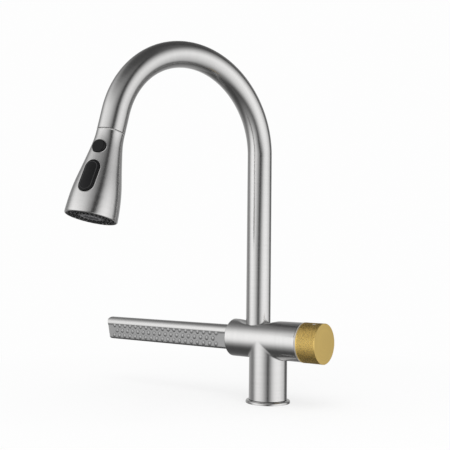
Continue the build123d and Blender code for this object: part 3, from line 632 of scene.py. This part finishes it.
# Gooseneck: one bent stainless tube, brushed round and round. It turns on a brass foot with two
# O-rings, and an acetal collar in its nose docks the spray head.

joints = {joint["name"]: joint for joint in frame["joints"]}
head_axis = Vector(joints["head_spin"]["axis"])
spin_above_dock = 0.010
dock_point = Vector(joints["head_spin"]["pos_m"]) + head_axis * spin_above_dock
neck_radius = 0.014
neck_wall = 0.0012
neck_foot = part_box("gooseneck")[0].z
arch_radius = 0.0985
arch_start = 0.281
arch_sweep = math.radians(167.0)
nose_length = 0.0215
arch_steps = 110
neck_sides = 72
rim_bevel = 0.0003

spout_axis = Vector(joints["spout_swivel"]["pos_m"]).xy
spout_way = (dock_point.xy - spout_axis).normalized()
neck_line = [(0.0, neck_foot)]
for step in range(arch_steps + 1):
    turn = arch_sweep * step / arch_steps
    neck_line.append((arch_radius * (1 - math.cos(turn)), arch_start + arch_radius * math.sin(turn)))
out, up = neck_line[-1]
neck_line.append((out + nose_length * math.sin(arch_sweep), up + nose_length * math.cos(arch_sweep)))


def route(name, points, closed):
    """A curve through points, straight between them."""
    curve = bpy.data.curves.new(name, "CURVE")
    curve.dimensions = "3D"
    line = curve.splines.new("POLY")
    line.points.add(len(points) - 1)
    for place, point in zip(line.points, points):
        place.co = (*point, 1)
    line.use_cyclic_u = closed
    return placed(name, curve)


def tool(name, **sizes):
    """A new Geometry Nodes tree with an input for each size: the tree, its inputs and their keys."""
    tree = bpy.data.node_groups.new(name, "GeometryNodeTree")
    tree.interface.new_socket("Geometry", in_out="INPUT", socket_type="NodeSocketGeometry")
    tree.interface.new_socket("Geometry", in_out="OUTPUT", socket_type="NodeSocketGeometry")
    kinds = {float: "NodeSocketFloat", int: "NodeSocketInt", bpy.types.Material: "NodeSocketMaterial",
             bpy.types.Object: "NodeSocketObject"}
    keys = {}
    for size, value in sizes.items():
        kind = next(socket for known, socket in kinds.items() if isinstance(value, known))
        keys[size] = tree.interface.new_socket(size, in_out="INPUT", socket_type=kind).identifier
    return tree, add(tree, "NodeGroupInput").outputs, keys


def end_tool(tree, shape, finish):
    """The end of a tree: real geometry with its finish."""
    real = add(tree, "GeometryNodeRealizeInstances", {0: shape}).outputs[0]
    dressed = add(tree, "GeometryNodeSetMaterial", {0: real, "Material": finish}).outputs[0]
    add(tree, "NodeGroupOutput", {0: dressed})


def run_tool(piece, tree, keys, sizes):
    """Puts a tree on a piece, sets its inputs, and makes what comes out the piece's plain mesh."""
    modifier = piece.modifiers.new(tree.name, "NODES")
    modifier.node_group = tree
    for size, value in sizes.items():
        modifier[keys[size]] = value
    if piece.type == "MESH":
        plain_mesh(piece)
        return piece
    mesh = mesh_made(piece)
    name = piece.name
    bpy.data.objects.remove(piece)
    return placed(name, mesh)


def bent_tube(sizes, capped):
    """The tree that runs a round tube along a curve and stores its brush lines."""
    tree, inputs, keys = tool("bent_tube", **sizes)
    along = add(tree, "GeometryNodeSplineParameter").outputs["Length"]
    line = add(tree, "GeometryNodeCaptureAttribute", {0: inputs["Geometry"]}, domain="POINT")
    line.capture_items.new("FLOAT", "along")
    tree.links.new(along, line.inputs[1])
    circle = add(tree, "GeometryNodeCurvePrimitiveCircle", {"Resolution": inputs["sides"],
                                                            "Radius": inputs["radius"]}).outputs[0]
    rim = add(tree, "GeometryNodeCaptureAttribute", {0: circle}, domain="POINT")
    rim.capture_items.new("VECTOR", "across")
    tree.links.new(add(tree, "GeometryNodeInputPosition").outputs[0], rim.inputs[1])
    tube = add(tree, "GeometryNodeCurveToMesh", {"Curve": line.outputs[0], "Profile Curve": rim.outputs[0],
                                                 "Fill Caps": capped})
    across = add(tree, "ShaderNodeSeparateXYZ", {0: rim.outputs[1]}).outputs
    brush = add(tree, "ShaderNodeCombineXYZ", {0: across[0], 1: across[1], 2: line.outputs[1]}).outputs[0]
    stored = add(tree, "GeometryNodeStoreNamedAttribute",
                 {"Geometry": tube.outputs[0], "Name": "brush", "Value": brush},
                 data_type="FLOAT_VECTOR", domain="POINT").outputs[0]
    end_tool(tree, stored, inputs["finish"])
    return tree, keys


def piped(name, points, radius, sides, finish, closed=False, capped=False):
    """A round tube or rod along points."""
    sizes = {"radius": radius, "sides": sides, "finish": finish}
    tree, keys = bent_tube(sizes, capped)
    return run_tool(route(name, points, closed), tree, keys, sizes)


neck_steel = brushed("neck_steel", 0.18)
neck_points = [(spout_axis.x + spout_way.x * out, spout_axis.y + spout_way.y * out, up)
               for out, up in neck_line]
neck = piped("neck_blank", neck_points, neck_radius, neck_sides, neck_steel)
hollow(neck, neck_wall)
rims = neck.modifiers.new("rims", "BEVEL")
rims.width = rim_bevel
rims.segments = 3
rims.limit_method = "ANGLE"
rims.angle_limit = math.radians(60)
plain_mesh(neck)
settled("gooseneck_finish", mesh_taken(neck), "gooseneck", neck_steel)
coat(brass, "spout_foot")
coat(rubber, "spout_o_rings")
coat(acetal, "dock_collar")


# Pull-out hose: a braided nylon hose that hangs in the spout. Its first stretch is made, up to the
# crimped steel ferrule, with the brass fitting and its washer that the head screws on to. Its braid is
# spaced, where the head is drawn out of the spout, for the hose drawn out.

head_across = Vector(joints["rocker_tilt"]["axis"])
head_out = head_across.cross(head_axis).normalized()
head_place = facing_ways(dock_point, head_out, head_across, head_axis)
hose_radius = 0.0060
hose_wall = 0.0020
hose_top = -0.052
hose_bottom = -0.0135
hose_steps = 40
hose_sides = 40
hose_held = -0.050
hose_free = -0.026
braid_strands = 14
braid_twist = 620.0
braid_depth = 0.00025


def braid(name, dark, pale):
    """Crossed strands, wound both ways round the hose, from its stored brush lines."""
    material = bpy.data.materials.new(name)
    material.use_nodes = True
    tree = material.node_tree
    line = add(tree, "ShaderNodeAttribute", attribute_name="brush").outputs["Vector"]
    place = add(tree, "ShaderNodeSeparateXYZ", {0: line}).outputs
    round_it = calc(tree, "MULTIPLY", calc(tree, "ARCTAN2", place[1], place[0]), braid_strands)
    waves = [calc(tree, "SINE", calc(tree, "MULTIPLY_ADD", place[2], twist, round_it))
             for twist in (braid_twist * braid_strands / 2, -braid_twist * braid_strands / 2)]
    weave = calc(tree, "MULTIPLY_ADD", calc(tree, "MULTIPLY", *waves), 0.5, 0.5)
    paint = add(tree, "ShaderNodeMix", {0: weave, 6: (*dark, 1), 7: (*pale, 1)}, data_type="RGBA").outputs[2]
    bump = add(tree, "ShaderNodeBump", {"Strength": 0.7, "Distance": braid_depth, "Height": weave}).outputs[0]
    shader = tree.nodes["Principled BSDF"]
    shader.inputs["Roughness"].default_value = 0.55
    tree.links.new(paint, shader.inputs["Base Color"])
    tree.links.new(bump, shader.inputs["Normal"])
    return material


hose_braid = braid("hose_braid", (0.10, 0.10, 0.11), (0.42, 0.42, 0.44))
hose_points = [head_place @ Vector((0, 0, hose_top + (hose_bottom - hose_top) * step / hose_steps))
               for step in range(hose_steps + 1)]
hose = piped("pull_out_hose", hose_points, hose_radius, hose_sides, hose_braid)
hollow(hose, hose_wall)
plain_mesh(hose)
hose_mesh = mesh_taken(hose)
hose_travel = max(joints["head_pull"]["range_m"])
for vertex, line in zip(hose_mesh.vertices, hose_mesh.attributes["brush"].data):
    along = (head_place.inverted() @ vertex.co).z
    line.vector.z = along + hose_travel * eased((along - hose_held) / (hose_free - hose_held))
hose = settled("pull_out_hose", hose_mesh, None, hose_braid)
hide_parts("hose_tail")
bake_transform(hose)
coat(screw_steel, "hose_ferrule")
coat(brass, "hose_fitting")
coat(rubber, "hose_washer")


# Spray head shell: drawn and turned stainless steel, brushed round, flared from the neck to the face.
# Two openings are cut in its front for the buttons, with a rolled lip round each. A thin ring of pale
# plastic shows as the line where the head meets the spout.

pause_station = 0.0206
pause_opening = 0.0071
rocker_station = 0.052
rocker_opening_length = 0.0342
rocker_opening_width = 0.0166
lip_radius = 0.00038
lip_outside = 0.0002
rod_sides = 10
opening_steps = 18
ray_start = 0.06
head_steel = brushed("head_steel", 0.18)
# The lips' steel is painted a little paler than the shell's steel, a painted highlight along each opening's
# edge.
lip_steel = surface("lip_steel", (0.70, 0.695, 0.69), 0.20, 1.0, grain=2500, tint=0.04, patchy=0.03)
seam_grey = surface("seam_grey", (0.46, 0.455, 0.45), 0.45, grain=1200, tint=0.06)
head_shell = machined("head_shell", head_steel, head_place)
machined("neck_ring", seam_grey, head_place)


def slot_on(piece, length, width, station):
    """Points round a slot with half-round ends, laid on a piece of the head from its front."""
    skin = BVHTree.FromPolygons([vertex.co for vertex in piece.data.vertices],
                                [tuple(face.vertices) for face in piece.data.polygons])
    straight = (length - width) / 2
    points = []
    for end in (1, -1):
        for step in range(opening_steps + 1):
            turn = math.pi * step / opening_steps
            across = end * width / 2 * math.cos(turn)
            along = station + end * (straight + width / 2 * math.sin(turn))
            points.append(skin.ray_cast(head_place @ Vector((ray_start, across, along)), -head_out)[0])
    return points[:-1]


for name, length, width, station in (
        ("pause_lip", 2 * pause_opening, 2 * pause_opening, pause_station),
        ("rocker_lip", rocker_opening_length, rocker_opening_width, rocker_station)):
    edge_points = slot_on(head_shell, length + 2 * lip_outside, width + 2 * lip_outside, station)
    lip = piped(name, edge_points, lip_radius, rod_sides, lip_steel, closed=True)
    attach(lip, "spray_head")


# Inside the head: a moulded core carries the check valve under the fitting, the diverter spool that
# the rocker shifts, and the rocker's steel pin. Two small coil springs close the valve and lift the
# pause button.

plastic_grey = surface("moulded_grey", (0.30, 0.31, 0.32), 0.48, grain=900, tint=0.05)
pause_coil_radius = 0.0029
check_coil_radius = 0.00195
pause_wire = 0.00032
check_wire = 0.00025
coil_steps = 24
coil_turns = 3.2
coil_end_turns = 0.5
coat(plastic_grey, "head_core")
coat(acetal, "check_valve_cage", "check_valve_poppet", "diverter_spool")
coat(rubber, "spool_o_rings", "core_seal")
coat(screw_steel, "rocker_pin")


def coil(node, place, radius, wire, held):
    """A coil spring that fills a spring node's length."""
    heights = [(place.inverted() @ vertex.co).z for vertex in frame["nodes"][node].data.vertices]
    low = min(heights) + wire
    rise = max(heights) - wire - low
    points = []
    for step in range(round(coil_turns * coil_steps) + 1):
        turn = 2 * math.pi * step / coil_steps
        climb = (step / coil_steps - coil_end_turns) / (coil_turns - 2 * coil_end_turns)
        climb = min(1.0, max(0.0, climb))
        points.append(place @ Vector((radius * math.cos(turn), radius * math.sin(turn), low + rise * climb)))
    spring = piped(node + "_coil", points, wire, rod_sides, spring_steel, capped=True)
    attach(spring, frame["nodes"][node]["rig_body"])
    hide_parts(node)
    tuple(place @ Vector((0, 0, held(heights))))
    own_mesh(spring)


head_to_button = Matrix.Translation((0, 0, pause_station)) @ Matrix.Rotation(math.pi / 2, 4, "Y")
coil("pause_spring", head_place @ head_to_button, pause_coil_radius, pause_wire, min)
coil("check_valve_spring", head_place, check_coil_radius, check_wire, max)


# Buttons: a round pause button and a long rocker, moulded in black plastic with a fine matt grain. A
# low ridge runs round the top of the rocker.

black_plastic = surface("button_plastic", (0.006, 0.006, 0.0065), 0.36, grain=2500, depth=0.000006,
                        tint=0.15, shine=0.22)
rib_radius = 0.00045
# The ridge gives the light line along the rocker's edge and is painted a paler black than the buttons, a
# painted highlight.
rib_plastic = surface("rib_plastic", (0.020, 0.020, 0.021), 0.30, grain=2500, depth=0.000006, tint=0.15)
rib_inset = 0.0027
machined("pause_button", black_plastic, head_place)
rocker = machined("rocker_button", black_plastic, head_place)
rib_points = slot_on(rocker, rocker_opening_length - 2 * rib_inset, rocker_opening_width - 2 * rib_inset,
                     rocker_station)
rib = piped("rocker_rib", rib_points, rib_radius, rod_sides, rib_plastic, closed=True)
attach(rib, "rocker")


# Spray face: a dark plate over a soft mat whose nozzles stand through its holes in three rings, and
# the aerator in the middle with its wire screen.

face_dark = surface("face_dark", (0.030, 0.030, 0.032), 0.38, grain=2500, depth=0.000005, tint=0.08,
                    shine=0.35)
nozzle_rubber = surface("nozzle_rubber", (0.012, 0.012, 0.013), 0.50, grain=2500, tint=0.1, shine=0.25)
aerator_grey = surface("aerator_grey", (0.10, 0.10, 0.105), 0.40, grain=1500, depth=0.000005, tint=0.06)
screen_steel = surface("screen_steel", (0.72, 0.72, 0.73), 0.40, 1.0, grain=2500, tint=0.08)
machined("face_plate", face_dark, head_place)
machined("nozzle_mat", nozzle_rubber, head_place)
machined("aerator", aerator_grey, head_place)
screen_radius = 0.0075
screen_low = 0.0855
screen_high = 0.0863
screen_rim = 0.0007
wire_radius = 0.00020
wire_pitch = 0.00095
wire_sides = 8


def set_out(name, stud_mesh, spots, finish):
    """Copies of a small piece by Geometry Nodes, one for each spot: its point, facing and size."""
    points, facings, sizes = zip(*spots)
    mesh = bpy.data.meshes.new(name)
    mesh.from_pydata(points, [], [])
    for key, vectors in (("facing", facings), ("size", sizes)):
        for value, vector in zip(mesh.attributes.new(key, "FLOAT_VECTOR", "POINT").data, vectors):
            value.vector = vector
    piece = placed(name, mesh)
    stud = placed("stud", stud_mesh)
    tree, inputs, keys = tool("set_out", stud=stud, finish=finish)
    facing, size = [add(tree, "GeometryNodeInputNamedAttribute", {"Name": key},
                        data_type="FLOAT_VECTOR").outputs[0] for key in ("facing", "size")]
    turn = add(tree, "FunctionNodeAlignRotationToVector", {"Vector": facing}, axis="Z").outputs[0]
    one = add(tree, "GeometryNodeObjectInfo", {"Object": inputs["stud"]}).outputs["Geometry"]
    many = add(tree, "GeometryNodeInstanceOnPoints", {"Points": inputs["Geometry"], "Instance": one,
                                                      "Rotation": turn, "Scale": size}).outputs[0]
    end_tool(tree, many, inputs["finish"])
    run_tool(piece, tree, keys, {"stud": stud, "finish": finish})
    bpy.data.objects.remove(stud)
    return piece


rim_outline = [(screen_radius - screen_rim, screen_low), (screen_radius, screen_low),
               (screen_radius, screen_high), (screen_radius - screen_rim, screen_high)]
settled("aerator_screen_rim", turned(rim_outline, head_place), "aerator_screen", screen_steel)
# The wire is one metre long, and the size of each copy shortens it to its place in the rim.
wire_outline = [(0, -0.5), (wire_radius, -0.5), (wire_radius, 0.5), (0, 0.5)]
wire_spots = []
half_rows = int((screen_radius - screen_rim) / wire_pitch)
for row in range(-half_rows, half_rows + 1):
    chord = 2 * math.sqrt((screen_radius - screen_rim / 2) ** 2 - (row * wire_pitch) ** 2)
    for way, other, lift in ((Vector((1, 0, 0)), Vector((0, 1, 0)), -wire_radius),
                             (Vector((0, 1, 0)), Vector((1, 0, 0)), wire_radius)):
        middle = other * row * wire_pitch + Vector((0, 0, (screen_low + screen_high) / 2 + lift))
        wire_spots.append((head_place @ middle, head_place.to_3x3() @ way, (1, 1, chord)))
wire = turned(wire_outline, Matrix(), wire_sides)
screen = set_out("aerator_screen_wires", wire, wire_spots, screen_steel)
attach(screen, "spray_head")


# Cartridge: a plastic housing with two ceramic discs, held in the cross tube by a brass nut. Its brass
# stem turns the moving disc, and a splined adapter with a set screw joins it to the knob.

ceramic = surface("ceramic", (0.82, 0.80, 0.76), 0.25, grain=1500, depth=0.000003, tint=0.03)
coat(rubber, "cartridge_seal", "stem_o_ring")
coat(plastic_grey, "cartridge_housing", "cartridge_base")
coat(brass, "cartridge_nut", "valve_stem")
coat(ceramic, "fixed_disc", "moving_disc")
coat(acetal, "knob_adapter")
coat(screw_steel, "knob_grub_screw")


# Knob: turned brass in satin gold, diamond knurled on its side up to a narrow plain edge. A pale trim
# ring closes the tube behind it, and a pale mark is set in its side.

knob_start = 0.0489
knob_end = 0.0725
knob_radius = 0.022
knob_core = 0.02172
knob_bore = 0.0185
knob_bore_end = 0.067
knob_edge = 0.00015
knob_chamfer = 0.0002
knob_sides = 160
boss_radius = 0.0086
boss_bore = 0.0066
boss_start = 0.052
boss_end = 0.063
knurl_start = 0.0496
knurl_end = 0.0721
knurl_round = 80
knurl_rows = 20
knurl_height = 0.00026
band_start = 0.0723
grub_x = 0.057
grub_hole = 0.0021
index_x = 0.063
index_angle = math.radians(16)
index_hole = 0.0016
index_depth = 0.0009
hole_over = 0.002
knurl_clear = 0.0008
knurl_sunk = 0.00005

gold = surface("gold", (0.98, 0.70, 0.235), 0.34, 1.0, depth=line_depth, tint=0.05, patchy=0.04,
               lines=turned_lines)
# The knurl's gold is darker than the plain gold. Its strong fine colour speckle (tint 0.42) is painted glints
# of the diamonds.
gold_knurl = surface("gold_knurl", (0.75, 0.49, 0.15), 0.28, 1.0, grain=2800, depth=0.00005, tint=0.42,
                     patchy=0.08)
knob_outline = [(0, boss_end), (boss_bore, boss_end), (boss_bore, boss_start), (boss_radius, boss_start),
                (boss_radius, knob_bore_end), (knob_bore, knob_bore_end), (knob_bore, knob_start),
                (knob_radius - knob_chamfer, knob_start), (knob_radius, knob_start + knob_chamfer),
                (knob_radius, knurl_start - knob_chamfer), (knob_core, knurl_start),
                (knob_core, knurl_end), (knob_core, band_start - knob_chamfer), (knob_radius, band_start),
                (knob_radius, knob_end - knob_edge), (knob_radius - knob_edge, knob_end), (0, knob_end)]
knob_blank = placed("knob_blank", turned(knob_outline, tube_axis, knob_sides))
index_way = Matrix.Translation((index_x, 0, tube_height)) @ Matrix.Rotation(index_angle, 4, "X")
cut(knob_blank, index_hole, knob_radius - index_depth, knob_radius + hole_over, index_way, hole_sides)
cut(knob_blank, grub_hole, boss_bore - hole_over, knob_radius + hole_over,
    Matrix.Translation((grub_x, 0, tube_height)) @ Matrix.Rotation(math.pi, 4, "X"), hole_sides)
knob_mesh = mesh_taken(knob_blank)
brush_lines(knob_mesh, tube_axis)
settled("knob_finish", knob_mesh, "knob", gold)

knurl_spots = []
knurl_pitch = (knurl_end - knurl_start) / knurl_rows
knurl_holes = [(index_way @ Vector((0, 0, knob_radius)), index_hole),
               (Vector((grub_x, 0, tube_height - knob_radius)), grub_hole)]
for row in range(knurl_rows - 1):
    for step in range(knurl_round):
        turn = 2 * math.pi * (step + row % 2 / 2) / knurl_round
        facing = Vector((0, -math.sin(turn), math.cos(turn)))
        x = knurl_start + (row + 1) * knurl_pitch
        spot = Vector((x, 0, tube_height)) + facing * knob_core
        if all((spot - hole).length > radius + knurl_clear for hole, radius in knurl_holes):
            knurl_spots.append((spot, facing, (1, 1, 1)))
half_wide = math.pi * knob_core / knurl_round
pyramid = bpy.data.meshes.new("pyramid")
pyramid.from_pydata([(knurl_pitch, 0, -knurl_sunk), (0, half_wide, -knurl_sunk),
                     (-knurl_pitch, 0, -knurl_sunk), (0, -half_wide, -knurl_sunk),
                     (0, 0, knurl_height)], [],
                    [(0, 1, 4), (1, 2, 4), (2, 3, 4), (3, 0, 4), (3, 2, 1, 0)])
knurl = set_out("knob_knurl", pyramid, knurl_spots, gold_knurl)
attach(knurl, "knob")
pale = surface("pale_trim", (0.74, 0.70, 0.66), 0.38, 0.6, grain=2500, tint=0.04, patchy=0.04)
machined("index_dot", pale)
machined("trim_ring", pale, tube_axis)


# Outlet bar: a flat hollow bar of stainless steel with a roll along its top, welded shut at its raked
# tip. Its blasted front has three rows of pressed bumps. It turns on a hub in an acetal collar, with
# two O-rings and a spring clip.

bar_end = tube_left
bar_roll = 0.008
bar_lip = 0.0006
bar_blend = 0.0032
bar_half = 0.0142
bar_rake = 0.0067
bar_tip = -0.2552
bar_foot_round = 0.003
bar_corner = 0.003
bar_wall = 0.0016
bar_soft_edge = 0.0004
bar_over = 0.002
side_over = 0.01
side_reach = 0.02
mouth_gap = 0.000001
front_facing = -0.3
blasted_share = 0.1
bump_radius = 0.0029
bump_height = 0.0011
bump_pitch = 0.0095
bump_row_pitch = 0.0064
bump_start = -0.0693
bump_middle = -0.0028
bump_columns = 19
bump_fullness = 1.15
bump_sunk = 0.0002
bump_sides = 16


def prism(name, outline, place, low, high):
    """A closed bar of an outline, along the Z axis of a place."""
    shape = bmesh.new()
    ends = [[shape.verts.new(place @ Vector((across, up, along))) for across, up in outline]
            for along in (low, high)]
    for here, there in zip(range(len(outline)), (*range(1, len(outline)), 0)):
        shape.faces.new((ends[0][here], ends[0][there], ends[1][there], ends[1][here]))
    for end in ends:
        shape.faces.new(end)
    bmesh.ops.recalc_face_normals(shape, faces=shape.faces)
    return placed(name, mesh_of(name, shape))


roll_height = bar_half - bar_roll
bar_front = -bar_roll + bar_lip
foot_corners = [(bar_front, -bar_half, bar_foot_round), (bar_roll, -bar_half, bar_foot_round)]
bar_outline = rounded([(bar_front, roll_height - bar_blend, 0.0), *foot_corners,
                       (bar_roll, roll_height, 0.0)])
roll_steps = 40
blend_steps = 8
for step in range(roll_steps + 1):
    turn = math.pi * step / roll_steps
    bar_outline.append(Vector((bar_roll * math.cos(turn), roll_height + bar_roll * math.sin(turn))))
for step in range(1, blend_steps):
    share = step / blend_steps
    bar_outline.append(Vector((-bar_roll + bar_lip * eased(share), roll_height - bar_blend * share)))
bar_outline = [point for point, after in zip(bar_outline, bar_outline[1:] + bar_outline[:1])
               if (point - after).length > near_point]
bar_across = facing_ways((0, 0, tube_height), (0, 1, 0), (0, 0, 1), (1, 0, 0))
bar_blank = prism("bar_blank", bar_outline, bar_across, bar_tip - bar_over, bar_end)
side_outline = rounded([(bar_end + side_over, bar_half, 0.0), (bar_tip, bar_half, bar_corner),
                        (bar_tip + bar_rake, -bar_half, bar_corner),
                        (bar_end + side_over, -bar_half, 0.0)])
bar_beside = Matrix.Translation((0, 0, tube_height)) @ Matrix.Rotation(math.pi / 2, 4, "X")
carve(bar_blank, prism("bar_side", side_outline, bar_beside, -side_reach, side_reach), "INTERSECT")
bar_shape = bmesh.new()
bar_shape.from_mesh(bar_blank.data)
mouth = [face for face in bar_shape.faces if face.calc_center_median().x > bar_end - mouth_gap]
bmesh.ops.delete(bar_shape, geom=mouth, context="FACES_ONLY")
bar_shape.to_mesh(bar_blank.data)
bar_shape.free()
soft = bar_blank.modifiers.new("soft", "BEVEL")
soft.width = bar_soft_edge
soft.segments = 4
soft.limit_method = "ANGLE"
soft.angle_limit = math.radians(48)
hollow(bar_blank, bar_wall)
plain_mesh(bar_blank)
bar_steel = surface("bar_steel", steel_colour, 0.25, 1.0, grain=2500, depth=0.000003, tint=0.04, patchy=0.03)
blasted_steel = surface("blasted_steel", (0.40, 0.40, 0.40), 0.42, 1.0, grain=3000, depth=0.000004, tint=0.05)
# The bumps are pressed from the blasted front but painted paler than it, a painted highlight on them.
bump_steel = surface("bump_steel", (0.50, 0.50, 0.50), 0.42, 1.0, grain=3000, depth=0.000004, tint=0.05)
bar = settled("outlet_bar_finish", mesh_taken(bar_blank), "outlet_bar", bar_steel)
bar.data.materials.append(blasted_steel)
blasted_top = tube_height + roll_height - bar_blend * blasted_share
for face in bar.data.polygons:
    if face.normal.y < front_facing and face.center.z < blasted_top:
        face.material_index = 1

dome_steps = 5
dome = [(bump_radius * step / dome_steps, bump_height * (1 - (step / dome_steps) ** 2) ** bump_fullness)
        for step in range(dome_steps + 1)]
dome += [(bump_radius, -bump_sunk), (0, -bump_sunk)]
bump_spots = []
for row in (-1, 0, 1):
    shift = bump_pitch / 2 if row == 0 else 0.0
    for column in range(bump_columns - (row == 0)):
        spot = (bump_start - shift - column * bump_pitch, bar_front,
                tube_height + bump_middle + row * bump_row_pitch)
        bump_spots.append((spot, (0, -1, 0), (1, 1, 1)))
bumps = set_out("bar_bumps", turned(dome, Matrix(), bump_sides), bump_spots, bump_steel)
for face in bumps.data.polygons:
    face.use_smooth = True
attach(bumps, "outlet_bar")
machined("bar_hub", ring_steel, tube_axis)
coat(acetal, "bar_collar")
coat(spring_steel, "bar_clip")
coat(rubber, "bar_o_rings")
